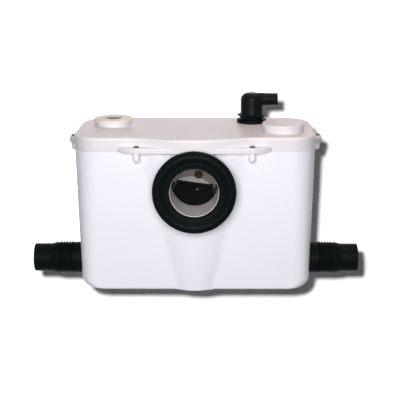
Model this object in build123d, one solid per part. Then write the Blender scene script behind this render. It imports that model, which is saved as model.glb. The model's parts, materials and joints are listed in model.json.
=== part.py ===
from build123d import *

import math
import os

# Macerator toilet pump: a moulded tank with a screwed lid, a toilet inlet on the front,
# an inlet for a waste pipe on each side, and a motor unit that grinds and pumps upwards.
# Millimetres. The origin is the middle of the tank's base on the floor, +Z is up,
# and the toilet stands on the -Y side.

os.makedirs("parts", exist_ok=True)

# Overrun of every cut past the faces it goes through
overrun = 2.0
# Gap between faces that lie together without touching, and between a shaft and its bush
face_gap = 0.3
running_gap = 0.06

# Tank
tank_half_width_top = 200.5
tank_side_draft = 5.5
tank_half_depth_base = 88.5
tank_half_depth_top = 91.2
tank_shoulder_z = 240.6
tank_front_shoulder_drop = 0.4
tank_wall = 4.0
tank_floor = 5.0
tank_front_corner_base = 24.0
tank_front_corner_top = 40.0
tank_back_corner_radius = 48.0
tank_foot_radius = 18.0
tank_foot_edge = 1.5
tank_foot_steps = 7

# Swelling of the tank's front, narrow at the floor and wide under the lid
bulge_half_width_base = 31.0
bulge_half_width_top = 96.0
bulge_rise_base = 7.0
bulge_rise_top = 16.0
bulge_hollow_share = 0.2

# Lid
lid_overhang = 1.2
lid_half_depth = 92.6
lid_rise = 23.4
lid_plate = 4.0
lid_skirt = 3.2
lid_edge_round = 4.5
lid_front_corner_radius = 42.0
lid_back_corner_radius = 50.0
lid_bow_half_width = 105.0
lid_bow_rise = 20.0
lid_bow_blend_share = 0.3
lid_parting_gap = 0.5
lid_apron_half_width = 118.0
lid_mark_radius = 52.0
lid_mark_height = 0.25
lid_mark_y = 22.0
lid_gate_radius = 3.0
rim_side_gap = 0.6
rim_wall = 3.2
gasket_height = 4.0

# Screws that hold the lid down, and the lugs and bosses that take them
screw_front_x = 94.2
screw_front_y = 100.0
screw_side_overhang = 7.7
screw_side_y = 1.0
screw_seat_rise = 8.9
screw_shank_radius = 2.5
screw_head_radius = 4.4
screw_head_height = 2.0
screw_recess_width = 1.1
screw_recess_depth = 1.0
screw_length = 20.0
screw_thread_gap = 0.05
lug_half_length = 32.0
lug_rise = 15.5
lug_blend_x = 36.0
boss_radius = 5.6
boss_height = 16.5

# Toilet inlet on the front
inlet_drop = 60.6
inlet_bore_radius = 39.6
inlet_pipe_wall = 3.5
inlet_mouth_y = 124.5
inlet_inner_y = 58.0
inlet_seat_y = 72.0
inlet_seat_depth = 0.6
inlet_flange_radius = 54.0
inlet_flange_thickness = 2.8
inlet_boss_radius = 55.0
inlet_boss_y = 107.2
collar_bead_ring_radius = 59.5
collar_bead_radius = 9.0
collar_bead_y = 125.2
collar_neck_radius = 57.0
collar_lip_radius = 40.4
collar_lip_thickness = 2.6
collar_lip_front_y = 128.6
collar_face_radius = 50.0

# Flap in the toilet inlet: it hangs from a bar across the pipe, turned a little in the pipe
flap_turn_deg = 8.2
flap_plane_y = 64.5
flap_thickness = 2.4
flap_edge_gap = 1.2
flap_drop = 4.5
bar_thickness = 4.0
bar_low = 3.6
bar_arch_height = 9.8
bar_arch_half_length = 27.5
bar_arch_shift = -2.5
bar_lobe_share = 0.75
shield_thickness = 2.0
hinge_pin_radius = 1.5
hinge_knuckle_radius = 3.1
hinge_knuckle_half_length = 31.0
flap_tab_half_length = 24.0
flap_notch_width = 12.0
flap_notch_height = 14.0
hinge_ear_width = 3.0
hinge_ear_radius = 3.4
ear_root = 2.0
rivet_side = 5.5
rivet_drop = 9.3
rivet_radius = 2.0
rivet_head_height = 1.4
clamp_screw_side = 3.6
clamp_screw_radius = 6.6
clamp_screw_head = 3.0
clamp_screw_rise = 17.5

# Side inlets for waste pipes
side_inlet_y = -28.0
side_inlet_z = 37.0
waste_pipe_radius = 20.3
spigot_bore_radius = 19.6
spigot_radius = 23.0
spigot_inset = 9.5
spigot_reach = 18.5
sleeve_plain_radius = 27.0
sleeve_rib_radius = 27.8
sleeve_groove_radius = 25.6
sleeve_rib_count = 5
sleeve_rib_pitch = 5.0
sleeve_rib_land_share = 0.34
sleeve_plain_length = 17.5
sleeve_bulge_length = 5.5
sleeve_taper_length = 7.0
sleeve_tip_radius = 24.2
sleeve_tip_length = 30.0
sleeve_tip_ridge_rise = 0.5
sleeve_tip_ridge_width = 2.4
sleeve_seat_length = 20.5
side_flap_radius = 21.4
side_flap_thickness = 2.0
side_pin_radius = 1.2
side_knuckle_radius = 2.6
side_knuckle_half_length = 7.0
side_ear_width = 3.0

# Discharge: riser, swivelling elbow, its rubber grommet and the non-return flap
discharge_to_switch = 56.4
discharge_y = 45.0
pipe_radius = 15.0
pipe_bore_radius = 12.0
pipe_bend_radius = 34.0
pipe_run_z = 55.3
riser_rise = 20.0
grommet_neck_radius = 20.0
grommet_flange_radius = 26.3
grommet_lid_gap = 0.2
grommet_flange_height = 6.2
grommet_lip_radius = 20.2
grommet_lip_height = 2.8
grommet_inner_depth = 3.5
elbow_body_radius = 19.6
elbow_bore_radius = 16.3
elbow_lip_radius = 25.4
elbow_lip_height = 3.9
elbow_lip_edge = 0.7
elbow_lip_rise = 2.8
elbow_neck_radius = 21.0
elbow_crown_radius = 12.0
elbow_height = 42.3
nozzle_radius = 10.5
nozzle_root_radius = 11.0
nozzle_root_gap = 0.8
nozzle_bore_radius = 7.6
nozzle_reach = 44.8
nozzle_groove_depth = 0.7
nozzle_groove_width = 2.2
nozzle_groove_count = 2
nozzle_groove_pitch = 5.4
nozzle_end_share = 0.12
valve_seat_height = 2.0
valve_bore_radius = 10.4
valve_flap_radius = 11.8
valve_flap_shift = 1.2
valve_flap_thickness = 2.0
valve_hinge_offset = 12.0
valve_hinge_rise = 4.6
valve_pin_radius = 0.8
valve_knuckle_radius = 1.9
valve_knuckle_half_length = 3.2
valve_ear_width = 1.6

# Vent cap with its filter, on the left of the lid
vent_side_margin = 57.5
vent_y = 24.0
vent_neck_radius = 30.6
vent_opening_radius = 24.0
vent_neck_height = 7.2
vent_cap_radius = 33.6
vent_cap_thickness = 4.8
vent_cap_round = 1.2
vent_window_radius = 13.5
vent_skirt_radius = 23.6
vent_skirt_wall = 2.4
vent_skirt_depth = 12.0
vent_hub_radius = 7.5
vent_hub_drop = 1.2
vent_spoke_width = 2.4
vent_spoke_count = 3
filter_thickness = 6.0

# Access cap on the right of the lid
access_side_margin = 51.8
access_y = -34.3
access_opening_radius = 28.0
access_neck_radius = 33.2
access_neck_height = 4.4
access_step_radius = 33.9
access_step_height = 3.8
access_cap_radius = 35.4
access_cap_height = 14.0
access_cap_round = 1.2
access_plug_radius = 27.4
access_plug_wall = 2.6
access_plug_depth = 12.0
access_top_wall = 3.0

# Motor unit: a vertical motor over a pump, with a cutter in a slotted basket underneath
motor_width_share = 0.5
motor_y = 0.0
basket_radius = 47.0
basket_wall = 3.0
basket_slot_count = 18
basket_slot_width = 5.0
basket_slot_margin = 7.0
casing_low_z = 40.0
casing_radius = 53.0
casing_wall = 4.0
casing_top_z = 66.0
suction_eye_radius = 15.0
duct_length = 59.0
duct_bore_radius = 10.0
coupling_radius = 18.5
coupling_half_length = 12.0
coupling_band_radius = 19.6
coupling_band_width = 6.0
seal_plate_thickness = 8.0
seal_plate_radius = 54.0
shaft_radius = 6.0
shaft_low_z = 12.0
shaft_end_length = 4.0
shaft_seal_radius = 11.5
shaft_seal_height = 11.0
motor_can_radius = 50.0
motor_can_wall = 3.0
motor_flange_radius = 57.0
motor_flange_thickness = 3.0
end_shield_thickness = 10.0
lower_shield_z = 79.0
upper_shield_drop = 43.0
bearing_radius = 16.0
stator_low_z = 112.0
stator_top_gap = 24.0
stator_bore_radius = 27.2
winding_height = 14.0
winding_inner_radius = 30.0
winding_outer_radius = 43.0
air_gap = 0.7
impeller_radius = 42.0
impeller_disc = 3.0
impeller_vane_height = 9.0
impeller_vane_count = 6
impeller_vane_width = 3.0
impeller_hub_radius = 10.0
impeller_face_gap = 1.6
cutter_z = 20.0
cutter_thickness = 3.0
cutter_reach = 38.0
cutter_width = 14.0
cutter_tip_height = 10.0
cutter_nut_radius = 9.0
cutter_nut_height = 6.0

# Deck that carries the motor, on pillars of the tank, and the electrical parts on it
deck_drop = 14.0
deck_thickness = 3.0
deck_side_margin = 10.0
deck_front_y = -74.0
deck_back_y = 79.0
deck_corner_radius = 16.0
deck_bolt_count = 3
deck_bolt_ring_radius = 53.5
deck_bolt_radius = 1.6
deck_bolt_head_radius = 3.2
deck_bolt_head_height = 2.4
pillar_radius = 6.0
pillar_side_margin = 22.0
pillar_front_y = -62.0
pillar_back_y = 70.0
pillar_front_right_x = -62.0
pillar_back_right_x = -64.0
capacitor_radius = 12.5
capacitor_length = 58.0
capacitor_offset = -66.0
capacitor_y = -50.0
clip_wall = 1.2
clip_width = 12.0
terminal_offset = -16.0
terminal_y = 46.0
terminal_length = 44.0
terminal_width = 17.0
terminal_height = 14.0
terminal_way_count = 4
terminal_screw_radius = 2.2
cutout_radius = 8.0
cutout_height = 5.0
cutout_offset = 26.0

# Pressure switch: a bell tube that traps air, a diaphragm, a plunger and a small switch
switch_side_margin = 45.5
switch_y = 45.0
bell_radius = 19.0
bell_wall = 3.0
bell_low_z = 22.0
bell_top_drop = 21.0
chamber_radius = 25.0
chamber_floor = 3.0
diaphragm_drop = 13.0
diaphragm_thickness = 1.2
diaphragm_dish_radius = 15.0
switch_wall = 2.5
plunger_plate_radius = 10.0
plunger_plate = 2.0
plunger_rod_radius = 2.6
plunger_travel = 3.0
plunger_rod_height = 6.0
plunger_spring_radius = 6.4
plunger_spring_bore = 3.6
micro_switch_length = 26.0
micro_switch_width = 15.0

# Cable gland in the back wall
gland_offset = 42.0
gland_drop = 37.0
gland_thread_radius = 8.0
gland_hex_radius = 12.5
gland_hex_thickness = 5.0
gland_dome_radius = 10.5
gland_dome_length = 12.0
gland_bore_radius = 3.6
gland_nut_thickness = 5.0

# Rubber pads let into the base
pad_radius = 12.0
pad_depth = 3.0
pad_side_margin = 50.0
pad_y = 56.0

# Places across the tank, worked out from its width
tank_half_width_base = tank_half_width_top - tank_side_draft
lid_half_width = tank_half_width_top + lid_overhang
screw_side_x = lid_half_width + screw_side_overhang
spigot_inner_x = tank_half_width_base - spigot_inset
spigot_outer_x = tank_half_width_base + spigot_reach
motor_x = -tank_half_width_top * motor_width_share
duct_end_x = motor_x + duct_length
vent_x = vent_side_margin - tank_half_width_top
access_x = tank_half_width_top - access_side_margin
switch_x = tank_half_width_top - switch_side_margin
discharge_x = switch_x - discharge_to_switch
pillar_left_x = pillar_side_margin - tank_half_width_base
deck_left_x = pillar_left_x - deck_side_margin
deck_right_x = deck_side_margin * 3 + pillar_front_right_x
capacitor_left_x = motor_x + capacitor_offset
terminal_x = motor_x + terminal_offset
gland_x = motor_x + gland_offset
pad_x = tank_half_width_base - pad_side_margin

# Heights worked out from the tank's shoulder
tank_front_shoulder_z = tank_shoulder_z - tank_front_shoulder_drop
lid_top_z = tank_shoulder_z + lid_rise
lid_under_z = lid_top_z - lid_plate
screw_seat_z = tank_shoulder_z + screw_seat_rise
inlet_z = tank_shoulder_z - inlet_drop
riser_top_z = lid_top_z + riser_rise
grommet_inner_z = lid_under_z - grommet_inner_depth
grommet_flange_low_z = lid_top_z + grommet_lid_gap
grommet_flange_top_z = grommet_flange_low_z + grommet_flange_height
grommet_top_z = grommet_flange_top_z + grommet_lip_height
elbow_bottom_z = grommet_top_z + face_gap
elbow_lip_z = elbow_bottom_z + elbow_lip_height
elbow_top_z = elbow_bottom_z + elbow_height
nozzle_z = elbow_top_z - nozzle_root_radius
access_cap_top_z = lid_top_z + access_cap_height
deck_z = tank_shoulder_z - deck_drop
bell_top_z = tank_shoulder_z - bell_top_drop
diaphragm_z = tank_shoulder_z - diaphragm_drop
gland_z = tank_shoulder_z - gland_drop
upper_shield_z = tank_shoulder_z - upper_shield_drop
stator_height = upper_shield_z - stator_low_z - stator_top_gap

# Other values worked out from the sizes above
rim_top_z = lid_under_z - gasket_height
rim_outer_inset = lid_skirt + rim_side_gap
rim_inner_inset = rim_outer_inset + rim_wall
skirt_low_z = tank_shoulder_z + lid_parting_gap
apron_low_z = tank_front_shoulder_z + lid_parting_gap
lug_low_z = apron_low_z + face_gap
boss_top_z = apron_low_z
inlet_pipe_radius = inlet_bore_radius + inlet_pipe_wall
casing_chamber_low = casing_low_z + casing_wall
seal_plate_top = casing_top_z + seal_plate_thickness
upper_shield_top = upper_shield_z + end_shield_thickness
shaft_top_z = upper_shield_top + shaft_end_length
deck_top = deck_z + deck_thickness
quarter_turn = 90.0
half_turn = 180.0
full_turn = 360.0
front_direction = (0, -1, 0)
back_direction = (0, 1, 0)
up_direction = (0, 0, 1)


def save(name, piece):
    """Write one piece to its own file."""
    export_step(Compound(children=list(piece.solids())), f"parts/{name}.step")


def rod(start, towards, length, radius):
    """Round bar from a point, along a direction."""
    return extrude(Plane(origin=start, z_dir=towards) * Circle(radius), amount=length)


def disc(x, y, low, high, radius):
    """Upright round bar between two heights."""
    return rod((x, y, low), up_direction, high - low, radius)


def ring(x, y, low, high, outer, inner):
    """Upright tube between two heights."""
    face = Circle(outer) - Circle(inner)
    return Pos(x, y, low) * extrude(face, amount=high - low)


def block(x_range, y_range, z_range):
    """Box between two corners."""
    size = [b - a for a, b in (x_range, y_range, z_range)]
    middle = [(a + b) / 2 for a, b in (x_range, y_range, z_range)]
    return Pos(*middle) * Box(*size)


def turned(points):
    """Solid turned about the Z axis from an outline of (radius, height) points."""
    outline = Polyline(*points, close=True)
    return revolve(make_face(Plane.XZ * outline), axis=Axis.Z)


def facing_front(piece, x, z):
    """Stand a piece made about the Z axis on the front: its +Z becomes -Y."""
    return Pos(x, 0, z) * Rot(quarter_turn, 0, 0) * piece


def facing_side(piece, side, y, z):
    """Lay a piece made about the Z axis on its side: its +Z becomes +X or -X."""
    return Pos(0, y, z) * Rot(0, side * quarter_turn, 0) * piece


def corner(x, y, radius, start):
    """Quarter arc of a rounded corner."""
    return CenterArc((x, y), radius, start, quarter_turn)


def box_outline(half_width, front, back, front_radius, back_radius):
    """Rounded rectangle seen from above, with its front at -Y."""
    front_in = half_width - front_radius
    back_in = half_width - back_radius
    edges = [
        Line((-front_in, -front), (front_in, -front)),
        corner(front_in, -front + front_radius, front_radius, -quarter_turn),
        Line((half_width, -front + front_radius), (half_width, back - back_radius)),
        corner(back_in, back - back_radius, back_radius, 0),
        Line((back_in, back), (-back_in, back)),
        corner(-back_in, back - back_radius, back_radius, quarter_turn),
        Line((-half_width, back - back_radius), (-half_width, -front + front_radius)),
        corner(-front_in, -front + front_radius, front_radius, half_turn),
    ]
    return make_face(edges)


def lid_outline(inset):
    """Outline of the lid with its bowed front, moved inwards by an inset."""
    half_width = lid_half_width - inset
    front = lid_half_depth - inset
    back = lid_half_depth - inset
    front_radius = lid_front_corner_radius - inset
    back_radius = lid_back_corner_radius - inset
    front_in = lid_half_width - lid_front_corner_radius
    back_in = lid_half_width - lid_back_corner_radius
    turn = 2 * math.atan(lid_bow_rise / lid_bow_half_width)
    radius_sum = lid_bow_half_width / math.sin(turn)
    hollow = radius_sum * lid_bow_blend_share
    crown = radius_sum - hollow
    turn_deg = math.degrees(turn)
    hollow_y = -lid_half_depth - hollow
    crown_y = -lid_half_depth - lid_bow_rise + crown
    edges = [
        Line((-front_in, -front), (-lid_bow_half_width, -front)),
        CenterArc((-lid_bow_half_width, hollow_y), hollow + inset, quarter_turn, -turn_deg),
        CenterArc((0, crown_y), crown - inset, -quarter_turn - turn_deg, 2 * turn_deg),
        CenterArc((lid_bow_half_width, hollow_y), hollow + inset, quarter_turn + turn_deg, -turn_deg),
        Line((lid_bow_half_width, -front), (front_in, -front)),
        corner(front_in, -front + front_radius, front_radius, -quarter_turn),
        Line((half_width, -front + front_radius), (half_width, back - back_radius)),
        corner(back_in, back - back_radius, back_radius, 0),
        Line((back_in, back), (-back_in, back)),
        corner(-back_in, back - back_radius, back_radius, quarter_turn),
        Line((-half_width, back - back_radius), (-half_width, -front + front_radius)),
        corner(-front_in, -front + front_radius, front_radius, half_turn),
    ]
    return make_face(edges)


def level(face, height):
    """Place a flat outline at a height."""
    return Pos(0, 0, height) * face


def plate(face, low, high):
    """Flat outline made solid between two heights."""
    return extrude(level(face, low), amount=high - low)


def half_width_at(height):
    """Half the tank's width at a height."""
    share = height / tank_shoulder_z
    return tank_half_width_base + (tank_half_width_top - tank_half_width_base) * share


def half_depth_at(height):
    """Half the tank's depth at a height, without the swelling."""
    share = height / tank_shoulder_z
    return tank_half_depth_base + (tank_half_depth_top - tank_half_depth_base) * share


def corner_radius_at(height):
    """Radius of the tank's front corners at a height."""
    share = height / tank_shoulder_z
    return tank_front_corner_base + (tank_front_corner_top - tank_front_corner_base) * share


def tank_section(height, wall):
    """Outline of the tank at a height, moved inwards by a wall, with the rounded foot."""
    foot = tank_foot_radius - wall
    below = max(tank_foot_radius - height, 0)
    side_in = foot - math.sqrt(max(foot * foot - below * below, 0))
    front_in = max(tank_foot_edge - height, 0) * (wall == 0)
    half_width = half_width_at(height) - wall - side_in
    half_depth = half_depth_at(height) - wall - front_in
    front_radius = corner_radius_at(height) - wall
    back_radius = tank_back_corner_radius - wall
    return box_outline(half_width, half_depth, half_depth, front_radius, back_radius)


def tank_body(wall, low, high):
    """Solid between two heights with the tank's drafted sides and rounded foot."""
    foot = tank_foot_radius - wall
    step = quarter_turn / (tank_foot_steps - 1)
    heights = []
    for index in range(tank_foot_steps):
        angle = math.radians(index * step)
        heights.append(tank_foot_radius - foot * math.cos(angle))
    start = heights[0]
    sections = [level(tank_section(height, wall), height) for height in heights]
    foot_part = loft(sections)
    shaft_sections = [
        level(tank_section(tank_foot_radius, wall), tank_foot_radius),
        level(tank_section(high, wall), high),
    ]
    body = foot_part + loft(shaft_sections, ruled=True)
    if low > start:
        reach = tank_half_width_top + overrun
        body -= block((-reach, reach), (-reach, reach), (start - overrun, low))
    return body


def bulge_section(height, wall):
    """Outline of the front swelling at a height, closed behind the tank's front wall."""
    share = height / tank_shoulder_z
    half_chord = bulge_half_width_base + (bulge_half_width_top - bulge_half_width_base) * share - wall
    rise = bulge_rise_base + (bulge_rise_top - bulge_rise_base) * share
    front = -half_depth_at(height) + wall
    behind = front + tank_wall / 2
    turn = 2 * math.atan(rise / half_chord)
    radius_sum = half_chord / math.sin(turn)
    hollow = radius_sum * bulge_hollow_share
    meet_x = (radius_sum - hollow) * math.sin(turn)
    meet_y = front - hollow * (1 - math.cos(turn))
    middle_x = half_chord - hollow * math.sin(turn / 2)
    middle_y = front - hollow * (1 - math.cos(turn / 2))
    edges = [
        ThreePointArc((-half_chord, front), (-middle_x, middle_y), (-meet_x, meet_y)),
        ThreePointArc((-meet_x, meet_y), (0, front - rise), (meet_x, meet_y)),
        ThreePointArc((meet_x, meet_y), (middle_x, middle_y), (half_chord, front)),
        Line((half_chord, front), (half_chord, behind)),
        Line((half_chord, behind), (-half_chord, behind)),
        Line((-half_chord, behind), (-half_chord, front)),
    ]
    return make_face(edges)


def bulge_body(wall, low, high):
    """Front swelling between two heights."""
    sections = [level(bulge_section(low, wall), low), level(bulge_section(high, wall), high)]
    return loft(sections, ruled=True)


def lug_face(x, y, facing_deg, length, rise):
    """Lens-shaped lug outline about a point on the edge that it grows from."""
    edges = [
        ThreePointArc((-length, 0), (0, rise), (length, 0)),
        Line((length, 0), (length, -lid_skirt / 2)),
        Line((length, -lid_skirt / 2), (-length, -lid_skirt / 2)),
        Line((-length, -lid_skirt / 2), (-length, 0)),
    ]
    return Pos(x, y, 0) * Rot(0, 0, facing_deg) * make_face(edges)


def lug_places():
    """Edge point and facing of each of the side and back lid lugs."""
    edge = lid_half_depth
    return [
        (-lid_half_width, screw_side_y, quarter_turn),
        (lid_half_width, screw_side_y, -quarter_turn),
        (-screw_front_x, edge, 0),
        (screw_front_x, edge, 0),
    ]


def bow_y_at(x):
    """Front edge of the lid's bow at a distance from the middle."""
    turn = 2 * math.atan(lid_bow_rise / lid_bow_half_width)
    crown = lid_bow_half_width / math.sin(turn) * (1 - lid_bow_blend_share)
    return crown - lid_half_depth - lid_bow_rise - math.sqrt(crown * crown - x * x)


def front_lug_face(side):
    """Front lug outline: round outside its screw and running into the lid's bow inside it."""
    front = -lid_half_depth - lug_rise
    outer_x = screw_front_x + lug_half_length
    inner_y = bow_y_at(lug_blend_x) + lid_skirt / 2
    behind = -lid_half_depth + lid_skirt / 2
    half = lug_half_length / 2
    outer_mid_y = -lid_half_depth - lug_rise * (1 - half * half / lug_half_length / lug_half_length)
    points = [
        (screw_front_x, front),
        (lug_blend_x, bow_y_at(lug_blend_x)),
        (lug_blend_x, inner_y),
        (screw_front_x - half, behind),
        (outer_x, behind),
        (outer_x, -lid_half_depth),
    ]
    points = [(side * x, y) for x, y in points]
    edges = [Line(a, b) for a, b in zip(points, points[1:])]
    middle = (side * (screw_front_x + half), outer_mid_y)
    edges.append(ThreePointArc(points[-1], middle, points[0]))
    return make_face(edges)


def screw_places():
    """Centre of each lid screw, with the side of the tank that carries its boss."""
    return [
        (-screw_front_x, -screw_front_y, front_direction),
        (screw_front_x, -screw_front_y, front_direction),
        (-screw_side_x, screw_side_y, (-1, 0, 0)),
        (screw_side_x, screw_side_y, (1, 0, 0)),
        (-screw_front_x, screw_front_y, back_direction),
        (screw_front_x, screw_front_y, back_direction),
    ]


def screw_boss(x, y, facing):
    """Rounded boss under a lid lug, with a web to the tank's wall."""
    low = boss_top_z - boss_height
    middle = low + boss_radius
    inner = boss_radius + tank_wall * 2
    boss = disc(x, y, middle, boss_top_z, boss_radius) + Pos(x, y, middle) * Sphere(boss_radius)
    web_x = (x - facing[0] * inner, x) if facing[0] else (x - boss_radius, x + boss_radius)
    web_y = (y - facing[1] * inner, y) if facing[1] else (y - boss_radius, y + boss_radius)
    web_x = (min(web_x), max(web_x))
    web_y = (min(web_y), max(web_y))
    upper = block(web_x, web_y, (middle, boss_top_z))
    back = (x - facing[0] * inner, y - facing[1] * inner, middle)
    lower = rod(back, facing, inner, boss_radius)
    return boss + upper + lower


def pillar_places():
    """Centre of each pillar that carries the deck."""
    return [
        (pillar_left_x, pillar_front_y),
        (pillar_left_x, pillar_back_y),
        (pillar_front_right_x, pillar_front_y),
        (pillar_back_right_x, pillar_back_y),
    ]


def pad_places():
    """Centre of each rubber pad in the base."""
    return [(x, y) for x in (-pad_x, pad_x) for y in (-pad_y, pad_y)]


def make_tank():
    """Moulded tank with its rim, screw bosses, pillars and openings."""
    step_low = tank_front_shoulder_z
    outside = tank_body(0, 0, tank_shoulder_z) + bulge_body(0, 0, tank_shoulder_z)
    rim = plate(lid_outline(rim_outer_inset), step_low, rim_top_z)
    front_cut = plate(lid_outline(-overrun * 2), tank_front_shoulder_z, tank_shoulder_z + overrun)
    front_cut -= plate(lid_outline(rim_outer_inset), tank_front_shoulder_z, tank_shoulder_z + overrun)
    apron_width = lid_apron_half_width + lid_parting_gap
    apron_depth = lid_half_depth + lid_bow_rise + lug_rise
    front_cut &= block(
        (-apron_width, apron_width),
        (-apron_depth, -lid_half_depth / 2),
        (tank_front_shoulder_z, tank_shoulder_z + overrun),
    )
    hollow = tank_body(tank_wall, tank_floor, step_low)
    hollow += bulge_body(tank_wall, tank_floor, step_low)
    hollow += plate(lid_outline(rim_inner_inset), step_low, rim_top_z + overrun)
    tank = outside - front_cut + rim
    for x, y, facing in screw_places():
        tank += screw_boss(x, y, facing)
    tank += rod((0, -tank_half_depth_base, inlet_z), front_direction, inlet_boss_y - tank_half_depth_base,
                inlet_boss_radius)
    tank -= hollow
    for x, y in pillar_places():
        tank += disc(x, y, tank_floor - tank_wall / 2, deck_z, pillar_radius) & outside
        tank -= disc(x, y, deck_z - screw_length, deck_z + overrun, screw_shank_radius + screw_thread_gap)
    tank -= rod((0, 0, inlet_z), front_direction, inlet_boss_y + overrun, inlet_pipe_radius + running_gap)
    for side in (-1, 1):
        start = (side * pad_x, side_inlet_y, side_inlet_z)
        length = tank_half_width_top + overrun - pad_x
        tank -= rod(start, (side, 0, 0), length, spigot_radius + running_gap)
    for x, y, _ in screw_places():
        low = screw_seat_z - screw_length - face_gap
        tank -= disc(x, y, low, boss_top_z + overrun, screw_shank_radius + screw_thread_gap)
    for x, y in pad_places():
        tank -= disc(x, y, -overrun, pad_depth, pad_radius + running_gap)
    gland_start = (gland_x, tank_half_depth_base - tank_wall * 2, gland_z)
    tank -= rod(gland_start, back_direction, tank_wall * 4, gland_thread_radius + running_gap)
    return tank


def make_lid():
    """Lid plate with its skirt, apron, lugs and the necks of the two caps."""
    outer = lid_outline(0)
    body = plate(outer, apron_low_z, lid_top_z)
    top_edges = body.faces().sort_by(Axis.Z)[-1].edges()
    body = fillet(top_edges, lid_edge_round)
    reach = lid_half_width + lug_rise + overrun
    above_skirt = block((-reach, reach), (-reach, reach), (skirt_low_z, lid_top_z + overrun))
    apron_zone = block(
        (-lid_apron_half_width, lid_apron_half_width),
        (-reach, -lid_half_depth / 2),
        (apron_low_z, lid_top_z),
    )
    body &= above_skirt + apron_zone
    shoulder = plate(tank_section(tank_shoulder_z, -face_gap), lug_low_z - overrun, skirt_low_z)
    for x, y, facing in lug_places():
        lug = plate(lug_face(x, y, facing, lug_half_length, lug_rise), lug_low_z, screw_seat_z)
        body += lug - shoulder
    for side in (-1, 1):
        body += plate(front_lug_face(side), lug_low_z, screw_seat_z) - shoulder
    body -= plate(lid_outline(lid_skirt), apron_low_z - overrun, lid_under_z)
    for x, y, _ in screw_places():
        body -= disc(x, y, apron_low_z - overrun, screw_seat_z + overrun, screw_shank_radius + running_gap)
    body += disc(vent_x, vent_y, lid_under_z, lid_top_z + vent_neck_height, vent_neck_radius)
    body -= disc(vent_x, vent_y, lid_under_z - overrun, lid_top_z + vent_neck_height + overrun,
                 vent_opening_radius)
    body += disc(access_x, access_y, lid_under_z, lid_top_z + access_neck_height, access_neck_radius)
    body -= disc(access_x, access_y, lid_under_z - overrun, lid_top_z + access_neck_height + overrun,
                 access_opening_radius)
    body -= disc(discharge_x, discharge_y, lid_under_z - overrun, lid_top_z + overrun,
                 grommet_neck_radius + running_gap)
    mark = disc(0, lid_mark_y, lid_under_z, lid_top_z + lid_mark_height, lid_mark_radius)
    mark += disc(0, lid_mark_y, lid_under_z, lid_top_z + lid_mark_height * 2, lid_gate_radius)
    return body + mark


def make_gasket():
    """Flat rubber seal between the tank's rim and the lid."""
    seal = plate(lid_outline(rim_outer_inset), rim_top_z, lid_under_z)
    return seal - plate(lid_outline(rim_inner_inset), rim_top_z - overrun, lid_under_z + overrun)


def screw(x, y, seat, length, shank, head, head_height):
    """Cross-recessed pan-head screw, head up."""
    body = disc(x, y, seat, seat + head_height, head)
    body = fillet(body.edges().sort_by(Axis.Z)[-1], head_height / 2)
    body += disc(x, y, seat - length, seat, shank)
    top = seat + head_height
    for turn in (0, quarter_turn):
        slot = Box(head, screw_recess_width, screw_recess_depth * 2)
        body -= Pos(x, y, top) * Rot(0, 0, turn) * slot
    return body


def make_lid_screws():
    """The six screws that hold the lid down."""
    pieces = []
    for x, y, _ in screw_places():
        pieces += screw(x, y, screw_seat_z, screw_length, screw_shank_radius, screw_head_radius,
                        screw_head_height).solids()
    return Compound(children=pieces)


def make_inlet_pipe():
    """Toilet inlet pipe through the front wall, with its flange."""
    inner = inlet_bore_radius
    seat = inner + inlet_seat_depth
    outer = inlet_pipe_radius
    flange_back = inlet_boss_y + face_gap
    flange_front = flange_back + inlet_flange_thickness
    profile = [
        (seat, inlet_inner_y),
        (outer, inlet_inner_y),
        (outer, flange_back),
        (inlet_flange_radius, flange_back),
        (inlet_flange_radius, flange_front),
        (outer, flange_front),
        (outer, inlet_mouth_y),
        (inner, inlet_mouth_y),
        (inner, inlet_seat_y),
        (seat, inlet_seat_y),
    ]
    return facing_front(turned(profile), 0, inlet_z)


def make_collar():
    """Rubber collar that seals the toilet's outlet: fat front bead and a thin inner lip."""
    back = inlet_boss_y + face_gap * 2 + inlet_flange_thickness
    seat = inlet_pipe_radius + running_gap
    bead_x = collar_bead_ring_radius
    bead_front = collar_bead_y + collar_bead_radius
    bead_start = math.radians(half_turn + quarter_turn / 2)
    start = (
        bead_x + collar_bead_radius * math.cos(-quarter_turn * math.pi / full_turn),
        collar_bead_y + collar_bead_radius * math.sin(-quarter_turn * math.pi / full_turn),
    )
    side = (bead_x + collar_bead_radius, collar_bead_y)
    slope_turn = bead_start - math.pi
    slope = (
        bead_x - collar_bead_radius * math.sin(slope_turn),
        collar_bead_y + collar_bead_radius * math.cos(slope_turn),
    )
    lip_front = (collar_lip_radius + collar_lip_thickness / 2, collar_lip_front_y)
    lip_tip = (collar_lip_radius, collar_lip_front_y - collar_lip_thickness / 2)
    lip_back = (collar_lip_radius, inlet_mouth_y + face_gap)
    inner_back = (seat, inlet_mouth_y + face_gap)
    edges = [
        Line((seat, back), (collar_neck_radius, back)),
        Line((collar_neck_radius, back), (collar_neck_radius, start[1] - collar_bead_radius / 2)),
        Line((collar_neck_radius, start[1] - collar_bead_radius / 2), start),
        ThreePointArc(start, side, (bead_x, bead_front)),
        ThreePointArc((bead_x, bead_front), (
            (bead_x + slope[0]) / 2 - collar_bead_radius * (1 - math.cos(slope_turn / 2)) / 4,
            bead_front - collar_bead_radius * (1 - math.cos(slope_turn / 2)),
        ), slope),
        Line(slope, (collar_face_radius, collar_lip_front_y)),
        Line((collar_face_radius, collar_lip_front_y), lip_front),
        Line(lip_front, lip_tip),
        Line(lip_tip, lip_back),
        Line(lip_back, inner_back),
        Line(inner_back, (seat, back)),
    ]
    body = revolve(make_face([Plane.XZ * edge for edge in edges]), axis=Axis.Z)
    return facing_front(body, 0, inlet_z)


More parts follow.
